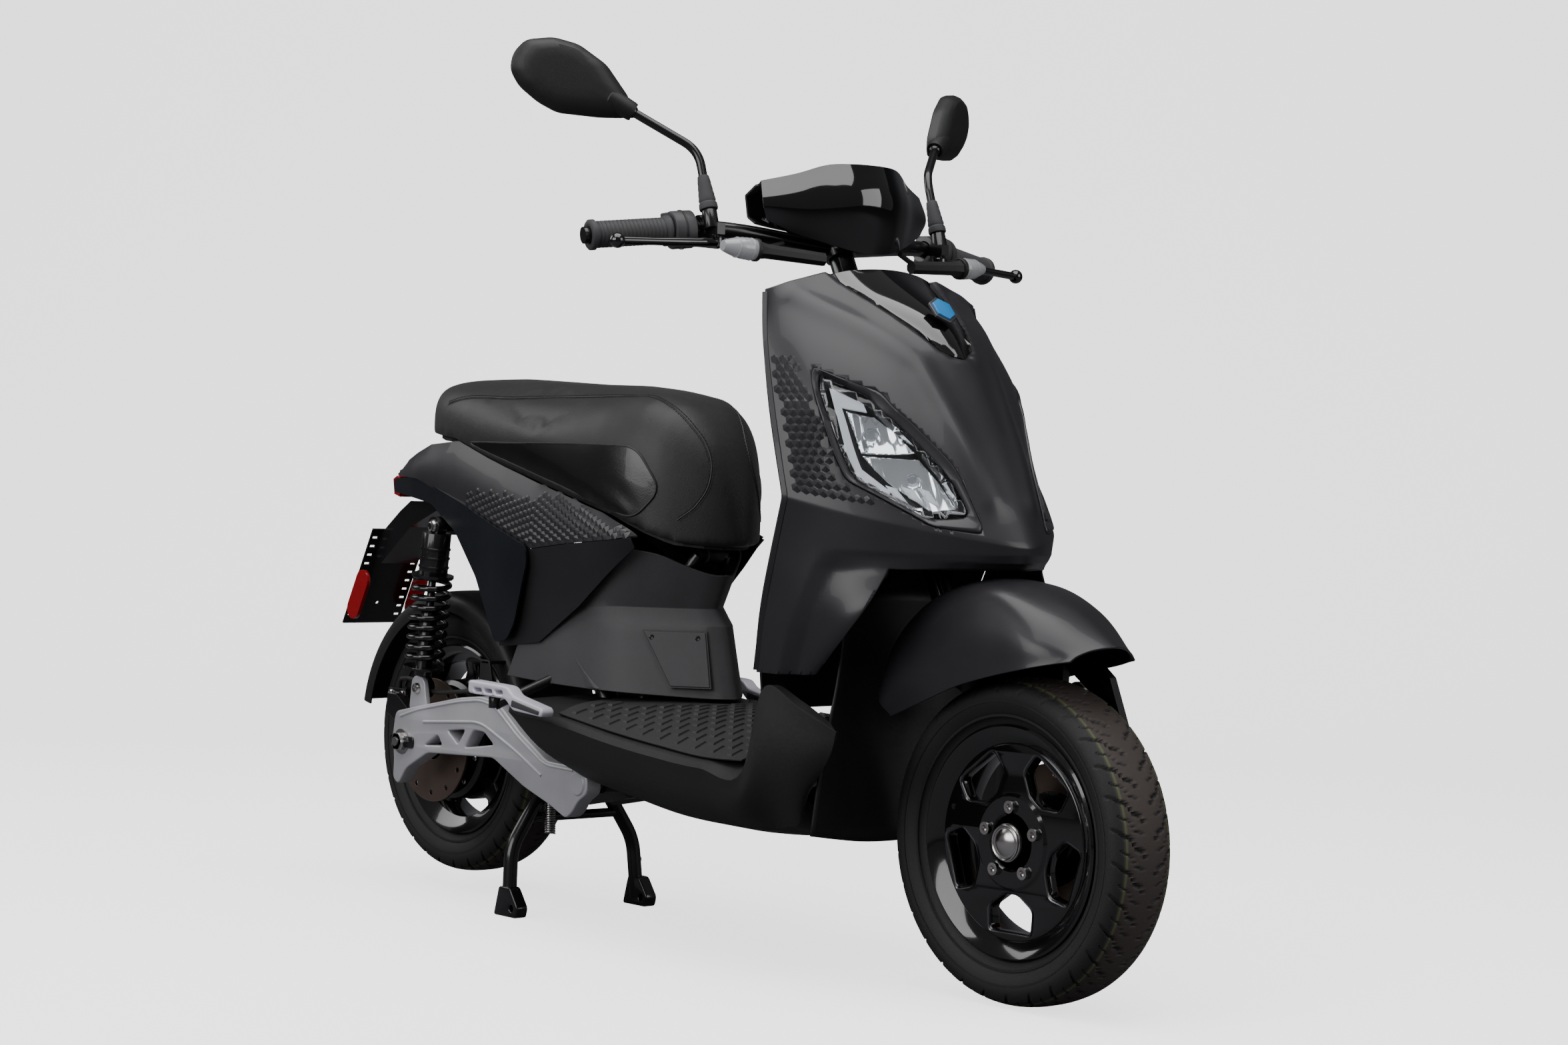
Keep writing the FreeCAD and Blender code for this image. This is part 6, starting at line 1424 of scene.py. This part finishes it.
def build_pegs():
    outline = [(302, 333), (302, 352), (388, 349), (398, 347.5), (412, 336.5), (480, 324), (484, 318), (481, 311), (412, 315.5),
               (394, 330)]
    for side, tag in ((-1, "right"), (1, "left")):
        body = "peg_" + tag
        slots = [fillet([(x, 336), (x + 18, 336), (x + 16, 341.5), (x - 2, 341.5)], 2.5, 4) for x in (318, 344, 370)]
        plate("peg_blade_" + tag, fillet(outline, 6, 4), slots, 22, PEG_WHITE, body, bevel=3, origin=(0, 215 * side, 0),
              replaces=("passenger_peg_" + tag,))
        plate("peg_tread_" + tag, fillet([(410, 321), (476, 313.5), (478, 319), (412, 330.5)], 2, 3), [], 24.5, GREY_PLASTIC,
              body, bevel=1, origin=(0, 215 * side, 0))
        lathe("peg_knuckle_" + tag, [(4.2, 0), (9, 0), (9.5, 1), (9.5, 15), (8.5, 16.5), (4.2, 16.5)], (322, 192 * side, 329.4),
              PEG_WHITE, body, axis=(0, 0, 1), segments=40)
        block("peg_neck_" + tag, (13, 14, 11), (322, 201 * side, 338), PEG_WHITE, body, bevel=2)


dress("main_frame", FRAME_PAINT, 0.6)
build_swingarm()
build_rear_caliper()
build_hugger()
build_rear_shocks()
build_stand()
build_pegs()


# ---------------------------------------------------------------- steering and controls
RAKE = math.radians(26)
STEER_UP = Vector((-math.sin(RAKE), 0, math.cos(RAKE)))
BAR_BEND = Vector((783, 190, 976))
BAR_END = Vector((737, 362, 956))
FRONT_SHOCK_TOP = Vector((1190, 108, 385))
FRONT_SHOCK_BOTTOM = Vector((1226, 108, 232))
MIRROR_FOOT = (799, 205, 998)
MIRROR_ELBOW = (774, 205, 1077)
MIRROR_NECK = (717, 273, 1126)
MIRROR_OUTLINE = [(4, -8), (40, -9), (97, -5), (123, 8), (148, 28), (160, 49), (157, 70), (141, 88), (105, 93),
                  (71, 85), (34, 60), (2, 16)]
HEADSET_FRONT = [
    [(812, 134, 1036), (826, 95, 1049), (838, 62, 1060), (847, 30, 1064), (850, 0, 1065)],
    [(828, 142, 1040), (850, 98, 1052), (872, 62, 1065), (890, 30, 1067), (896, 0, 1067)],
    [(838, 146, 1012), (864, 98, 1018), (888, 62, 1021), (904, 30, 1022), (909, 0, 1022)],
    [(836, 138, 988), (858, 96, 970), (876, 62, 960), (888, 30, 952), (893, 0, 950)],
    [(818, 132, 990), (834, 96, 974), (848, 62, 964), (856, 30, 957), (860, 0, 955)],
]
HEADSET_REAR = [
    [(806, 132, 1034), (820, 95, 1046), (832, 62, 1056), (840, 30, 1060), (843, 0, 1061)],
    [(772, 120, 1024), (764, 84, 1036), (758, 42, 1042), (755, 20, 1044), (754, 0, 1044)],
    [(768, 112, 998), (757, 78, 996), (750, 40, 994), (747, 20, 993), (746, 0, 993)],
    [(776, 106, 990), (768, 74, 988), (762, 38, 986), (760, 20, 985), (759, 0, 985)],
]


def bar_axis(side):
    return (Vector(sided(BAR_END, side)) - Vector(sided(BAR_BEND, side))).normalized()


def bar_point(side, distance):
    return Vector(sided(BAR_BEND, side)) + bar_axis(side) * distance


def build_front_end():
    dress("steering_stem", BLACK_METAL, 2.2)
    dress("front_arm", BLACK_METAL, 2.0)
    dress("front_shock_upper", BLACK_METAL, 0.8)
    dress("front_shock_lower", BLACK_METAL, 0.8)
    axis = (FRONT_SHOCK_TOP - FRONT_SHOCK_BOTTOM).normalized()
    length = (FRONT_SHOCK_TOP - FRONT_SHOCK_BOTTOM).length
    spring = coil("front_coil_wire", FRONT_SHOCK_BOTTOM + axis * 40, axis, length - 98, 27, 4.2, 4.2, SPRING_PAINT,
                  "front_damper_top", replaces=("front_spring",))
    compress(spring)
    screw("leg_pivot_bolt", (1314, 97, 205), (0, 1, 0), 10, BRIGHT, "front_suspension", 6)
    screw("front_shock_bolt", (FRONT_SHOCK_TOP.x, 117, FRONT_SHOCK_TOP.z), (0, 1, 0), 9, BRIGHT, "steering", 5)
    hub_nut = [(15 * math.cos(math.radians(60 * k)), 15 * math.sin(math.radians(60 * k))) for k in range(6)]
    plate("stub_axle_nut", hub_nut, [], 8, BRIGHT, "front_suspension", bevel=1.2,
          origin=(FRONT_AXLE[0], 95, FRONT_AXLE[2]))


def grip(name, side, body, node):
    """Ribbed rubber sleeve with a flange at each end."""
    axis = bar_axis(side)
    start = bar_point(side, 58)
    profile = [(11.2, 0), (19, 0), (20, 1.5), (20, 5), (18.5, 6.5)]
    ribs = 17
    for k in range(ribs):
        h = 10 + 93 * k / ribs
        profile += [(16.4, h), (17.6, h + 1.2), (17.6, h + 3.6), (16.4, h + 4.8)]
    profile += [(17, 105), (20, 106.5), (20, 112), (18.5, 113.5), (13, 113.9), (11.2, 113)]
    lathe(name, profile, start, GRIP_RUBBER, body, axis=axis, segments=96, angle=50, replaces=(node,))
    tag = "left" if side > 0 else "right"
    plug = [(0, 0), (10.5, 0), (10.5, 1.5), (8, 3.2), (0, 3.4)]
    lathe("bar_plug_" + tag, plug, bar_point(side, 58 + 110.5), DARK_PLASTIC, body, axis=axis, segments=40)


def build_bars():
    middle = Vector((1292, 0, 0)) + STEER_UP * 1066
    path = [sided(BAR_END, -1), sided(BAR_BEND, -1), (800, -130, 972), tuple(middle), (800, 130, 972), tuple(BAR_BEND),
            tuple(BAR_END)]
    tube("bar_tube", path, 11, BLACK_METAL, "steering", bend=26, segments=32, replaces=("handlebar",))
    lathe("bar_clamp_ring", [(0, 0), (20, 0), (21, 1), (21, 21), (20, 22), (0, 22)], Vector((1292, 0, 0)) + STEER_UP * 1053,
          BLACK_METAL, "steering", axis=STEER_UP, segments=64)
    grip("left_grip_rubber", 1, "steering", "grip_left")
    grip("throttle_grip_rubber", -1, "throttle", "throttle_grip")
    dress("switch_pods", GREY_PLASTIC, 2.0)
    dress("lever_perches", BLACK_METAL, 1.2)
    dress("start_button", RED, 0.8)
    dress("horn_button", DARK_PLASTIC, 0.8)
    dress("turn_switch", GREY_PLASTIC, 0.8)
    for side in (-1, 1):
        tag = "left" if side > 0 else "right"
        path = [sided(p, side) for p in ((810, 200, 955), (817, 225, 953), (811, 290, 950), (803, 356, 947))]
        body = "lever_" + tag
        tube("lever_blade_" + tag, path, 6, GLOSS, body, bend=24, segments=28, taper=[(0, 8), (0.2, 7), (0.8, 5.2), (1, 5.5)],
             replaces=("brake_lever_" + tag,))
        knob = [(10 * math.sin(math.pi * k / 20), -10 * math.cos(math.pi * k / 20)) for k in range(21)]
        knob = [(max(0.0, r), h) for r, h in knob]
        lathe("lever_knob_" + tag, knob, path[-1], GLOSS, body, axis=(0, side, 0), segments=40)
        hub = [(4.2, 0), (9, 0), (10, 1), (10, 13), (9, 14), (4.2, 14)]
        lathe("lever_hub_" + tag, hub, (path[0][0], path[0][1], path[0][2] - 7), GLOSS, body, axis=(0, 0, 1), segments=40)
        screw("lever_pin_head_" + tag, (path[0][0], path[0][1], path[0][2] + 14), (0, 0, 1), 6, BRIGHT, "steering", 3)
        hose = [(800, 188, 962), (812, 168, 952), (822, 140, 948), (832, 104, 960)]
        tube("brake_hose_" + tag, [sided(p, side) for p in hose], 3.6, RUBBER, "steering", bend=18, segments=16)
        band = [(25.2, 0), (26, 0.6), (26, 2.4), (25.2, 3)]
        lathe("pod_band_" + tag, band, bar_point(side, 40.5), DARK_PLASTIC, "steering", axis=bar_axis(side), segments=64)
        under = bar_point(side, 42) + Vector((4, 0, -24))
        screw("pod_screw_" + tag, under, (0.15, 0, -1), 3.4, BRIGHT, "steering", 1.6)


def build_headset():
    front = whole([[p for p in row] for row in HEADSET_FRONT])
    grid = net(front, 10, 8, sharp_rows=(1, 3))
    shell = sheet("headset_gloss", grid, GLOSS, "steering", thick=3, offset=-1, bevel=0.6, replaces=("headset_front",))
    rear = net(whole([[p for p in row] for row in HEADSET_REAR]), 10, 8, sharp_rows=(1, 2))
    sheet("headset_back", rear, GREY_PLASTIC, "steering", thick=3, offset=1, bevel=0.6, replaces=("headset_rear",))
    lathe("headset_screw_cup", [(0, 0), (4.5, 0), (6.5, 2.2), (7.5, 2.2), (7.5, -1), (0, -1)], (852, -47, 1050),
          DARK_PLASTIC, "steering", axis=(0.5, -0.15, 0.85), segments=32)
    return shell


def build_indicators():
    for side in (-1, 1):
        tag = "left" if side > 0 else "right"
        start, end = Vector(sided((884, 78, 938), side)), Vector(sided((869, 182, 944), side))
        axis = (end - start).normalized()
        fore = Vector((1, 0, 0))
        fore = (fore - axis * fore.dot(axis)).normalized()
        rise = axis.cross(fore)

        def ring(distance, wide, tall, sides, turn=0.0):
            centre = start + axis * distance
            return [centre + fore * (wide * math.cos(2 * math.pi * (k + turn) / sides))
                    + rise * (tall * math.sin(2 * math.pi * (k + turn) / sides)) for k in range(sides)]

        length = (end - start).length
        stack("indicator_stalk_" + tag, [ring(0, 8, 9, 8, 0.5), ring(length - 16, 9, 10, 8, 0.5), ring(length, 13, 13, 8, 0.5)],
              DARK_PLASTIC, "steering", angle=20, replaces=("front_indicators",) if side < 0 else ())
        lens = [ring(length, 12, 12, 40), ring(length + 2, 14, 14, 40), ring(length + 10, 15, 14.6, 40)]
        lens += [ring(length + 18 + 4 * k, 15 * math.cos(0.118 * (k + 1)), 14.4 * math.cos(0.118 * (k + 1)), 40)
                 for k in range(9)]
        stack("indicator_lens_" + tag, lens, SIGNAL, "steering", angle=50)
        collar = [ring(length - 3, 13.5, 13.5, 40), ring(length - 2, 15, 15, 40), ring(length + 2, 15.4, 15.2, 40),
                  ring(length + 3, 14.6, 14.4, 40)]
        stack("indicator_collar_" + tag, collar, DARK_PLASTIC, "steering", angle=30)
        for k in range(4):
            stack("indicator_flute_%s_%d" % (tag, k), [ring(length + 8 + k * 7, 15.1 - k * 0.35, 14.7 - k * 0.35, 40),
                                                      ring(length + 9 + k * 7, 15.4 - k * 0.42, 15 - k * 0.42, 40),
                                                      ring(length + 10 + k * 7, 15.1 - k * 0.5, 14.7 - k * 0.5, 40)],
                  SIGNAL, "steering")


def build_mirrors():
    for side in (-1, 1):
        tag = "left" if side > 0 else "right"
        foot, elbow, neck = (Vector(sided(p, side)) for p in (MIRROR_FOOT, MIRROR_ELBOW, MIRROR_NECK))
        rise = (elbow - foot).normalized()
        arm = "mirror_arm_" + tag
        head = "mirror_" + tag
        tube("mirror_rod_" + tag, [foot, elbow, neck], 6, BLACK_METAL, arm, bend=22, segments=28,
             replaces=("mirror_stem_" + tag,))
        boot = [(6, 0), (12, 0), (12.5, 2), (12, 8), (10.5, 10), (11.5, 13), (10.5, 18), (10.8, 20), (9.6, 26), (9.9, 28),
                (8.8, 35), (9.0, 37), (7.6, 46), (6, 47)]
        lathe("mirror_boot_" + tag, boot, foot, GRIP_RUBBER, arm, axis=rise, segments=48)
        ball = [(max(0.0, 8.9 * math.sin(math.pi * k / 20)), -8.9 * math.cos(math.pi * k / 20)) for k in range(21)]
        lathe("mirror_ball_" + tag, ball, neck, BLACK_METAL, arm, axis=(0, 0, 1), segments=40)
        out = Vector((-0.525, 0.851 * side, 0))
        back = Vector((0.851, 0.525 * side, 0))
        outline = fillet(MIRROR_OUTLINE, 9, 5)
        mid_u, mid_v = 92, 44

        def ring(depth, scale, lift=0.0):
            return [neck + out * (mid_u + (a - mid_u) * scale) + Vector((0, 0, mid_v + lift + (b - mid_v) * scale))
                    + back * depth for a, b in outline]

        shape = [ring(-11, 0.93), ring(-14, 0.955), ring(-14, 0.985), ring(-12.5, 1.0), ring(-2, 1.0), ring(0, 0.985),
                 ring(7, 0.90, 1), ring(12, 0.76, 2), ring(13.6, 0.60, 3), ring(13.9, 0.40, 3)]
        stack("mirror_shell_" + tag, shape, DARK_PLASTIC, head, angle=28, replaces=("mirror_head_" + tag,))
        # The mirror glass glows faintly: painted reflection.
        stack("mirror_glass_" + tag, [ring(-12.6, 0.925), ring(-13.2, 0.915), ring(-13.2, 0.2)], CHROME_PAINTED_REFLECTION, head, angle=40)
        collar_axis = (out * 0.75 + Vector((0, 0, 0.4))).normalized()
        collar = [(9.3, -2), (12, -3), (12.8, 0), (13.5, 12), (14.5, 34), (13, 36), (0, 36), (0, 12), (9.3, 4)]
        lathe("mirror_collar_" + tag, collar, neck, DARK_PLASTIC, head, axis=collar_axis, segments=48)


build_front_end()
build_bars()
build_headset()
build_indicators()
build_mirrors()


# ---------------------------------------------------------------- floor, light and camera
def surround(name, colour, rough):
    """Paper that looks pale to the camera, throws little light back on the object and is clear from behind."""
    mat = material(name, colour, rough, grain=0.02, grain_scale=300, tint=0.01, tint_scale=2)
    nodes, links = mat.node_tree.nodes, mat.node_tree.links
    out = next(node for node in nodes if node.type == "OUTPUT_MATERIAL")
    paper = out.inputs["Surface"].links[0].from_socket
    path = nodes.new("ShaderNodeLightPath")
    glow = nodes.new("ShaderNodeEmission")
    glow.inputs["Color"].default_value = (1, 1, 1, 1)
    glow.inputs["Strength"].default_value = 1.8
    lit = nodes.new("ShaderNodeAddShader")
    dim = nodes.new("ShaderNodeBsdfDiffuse")
    dim.inputs["Color"].default_value = (0.16, 0.16, 0.17, 1)
    choose = nodes.new("ShaderNodeMixShader")
    links.new(paper, lit.inputs[0])
    links.new(glow.outputs[0], lit.inputs[1])
    links.new(path.outputs["Is Camera Ray"], choose.inputs["Fac"])
    links.new(dim.outputs[0], choose.inputs[1])
    links.new(lit.outputs[0], choose.inputs[2])
    reverse = nodes.new("ShaderNodeNewGeometry")
    behind = nodes.new("ShaderNodeMath")
    behind.operation = "MULTIPLY"
    clear = nodes.new("ShaderNodeBsdfTransparent")
    open_back = nodes.new("ShaderNodeMixShader")
    links.new(path.outputs["Is Camera Ray"], behind.inputs[0])
    links.new(reverse.outputs["Backfacing"], behind.inputs[1])
    links.new(behind.outputs[0], open_back.inputs["Fac"])
    links.new(choose.outputs[0], open_back.inputs[1])
    links.new(clear.outputs[0], open_back.inputs[2])
    links.new(open_back.outputs[0], out.inputs["Surface"])
    return mat


def build_stage():
    mesh = bpy.data.meshes.new("studio_sweep")
    rows = [(-9.0, 0.0), (3.0, 0.0)]
    rows += [(3.0 + 1.5 * math.sin(a), 1.5 - 1.5 * math.cos(a)) for a in np.linspace(0.15, math.pi / 2, 12)]
    rows.append((4.5, 7.0))
    azimuth = math.radians(49.6)
    away = Vector((-math.sin(azimuth), math.cos(azimuth), 0))
    across = Vector((math.cos(azimuth), math.sin(azimuth), 0))
    points = [away * reach + across * w + Vector((0, 0, height)) for reach, height in rows for w in (-14, 14)]
    mesh.from_pydata(points, [], grid_faces(len(rows), 2))
    mesh.update()
    floor = bpy.data.objects.new("studio_sweep", mesh)
    bpy.context.scene.collection.objects.link(floor)
    floor.data.materials.append(surround("studio_paper", (0.86, 0.86, 0.87), 0.9))
    floor.data.polygons.foreach_set("use_smooth", [True] * len(floor.data.polygons))


def soft_light(name, place, aim, size, power, tone=(1, 1, 1)):
    lamp = bpy.data.lights.new(name, "AREA")
    lamp.shape = "RECTANGLE"
    lamp.size, lamp.size_y = size
    lamp.energy = power
    lamp.color = tone
    obj = bpy.data.objects.new(name, lamp)
    obj.location = place
    obj.rotation_euler = (Vector(aim) - Vector(place)).to_track_quat("-Z", "Y").to_euler()
    bpy.context.scene.collection.objects.link(obj)
    obj.visible_camera = False


def build_lights():
    centre = (0, 0, 0.55)
    soft_light("key_overhead", (0.6, -0.6, 3.4), centre, (3.2, 3.2), 105)
    soft_light("front_left_fill", (3.6, 1.4, 1.8), centre, (2.2, 2.2), 40)
    soft_light("right_side_fill", (0.2, -4.0, 1.9), centre, (3.4, 2.0), 75)
    soft_light("rear_rim", (-3.2, -1.6, 2.4), centre, (2.0, 2.0), 30)
    world = bpy.data.worlds.new("studio_air")
    world.use_nodes = True
    nodes, links = world.node_tree.nodes, world.node_tree.links
    ground = nodes["Background"]
    coord = nodes.new("ShaderNodeTexCoord")
    split = nodes.new("ShaderNodeSeparateXYZ")
    ramp = nodes.new("ShaderNodeValToRGB")
    ramp.color_ramp.elements[0].color = (0.80, 0.80, 0.81, 1)
    ramp.color_ramp.elements[1].color = (1.0, 1.0, 1.0, 1)
    links.new(coord.outputs["Generated"], split.inputs["Vector"])
    links.new(split.outputs["Z"], ramp.inputs["Fac"])
    links.new(ramp.outputs["Color"], ground.inputs["Color"])
    path = nodes.new("ShaderNodeLightPath")
    power = nodes.new("ShaderNodeMapRange")
    power.inputs["To Min"].default_value = 0.14
    power.inputs["To Max"].default_value = 0.95
    links.new(path.outputs["Is Camera Ray"], power.inputs["Value"])
    links.new(power.outputs["Result"], ground.inputs["Strength"])
    bpy.context.scene.world = world


CAMERA_AZIMUTH = math.radians(49.59)
CAMERA_RISE = math.radians(0.67)
CAMERA_ROLL = math.radians(1.44)


def build_camera():
    back = Vector((math.sin(CAMERA_AZIMUTH) * math.cos(CAMERA_RISE), -math.cos(CAMERA_AZIMUTH) * math.cos(CAMERA_RISE),
                   math.sin(CAMERA_RISE)))
    right = Vector((math.cos(CAMERA_AZIMUTH), math.sin(CAMERA_AZIMUTH), 0))
    up = back.cross(right)
    x = right * math.cos(CAMERA_ROLL) + up * math.sin(CAMERA_ROLL)
    y = -right * math.sin(CAMERA_ROLL) + up * math.cos(CAMERA_ROLL)
    lens = bpy.data.cameras.new("photo_camera")
    lens.lens = 68.2
    lens.sensor_width = 36
    lens.sensor_fit = "HORIZONTAL"
    lens.clip_end = 60
    camera = bpy.data.objects.new("photo_camera", lens)
    camera.matrix_world = Matrix.Translation(CAMERA_PLACE) @ Matrix((x, y, back)).transposed().to_4x4()
    bpy.context.scene.collection.objects.link(camera)
    bpy.context.scene.camera = camera


build_stage()
build_lights()
build_camera()
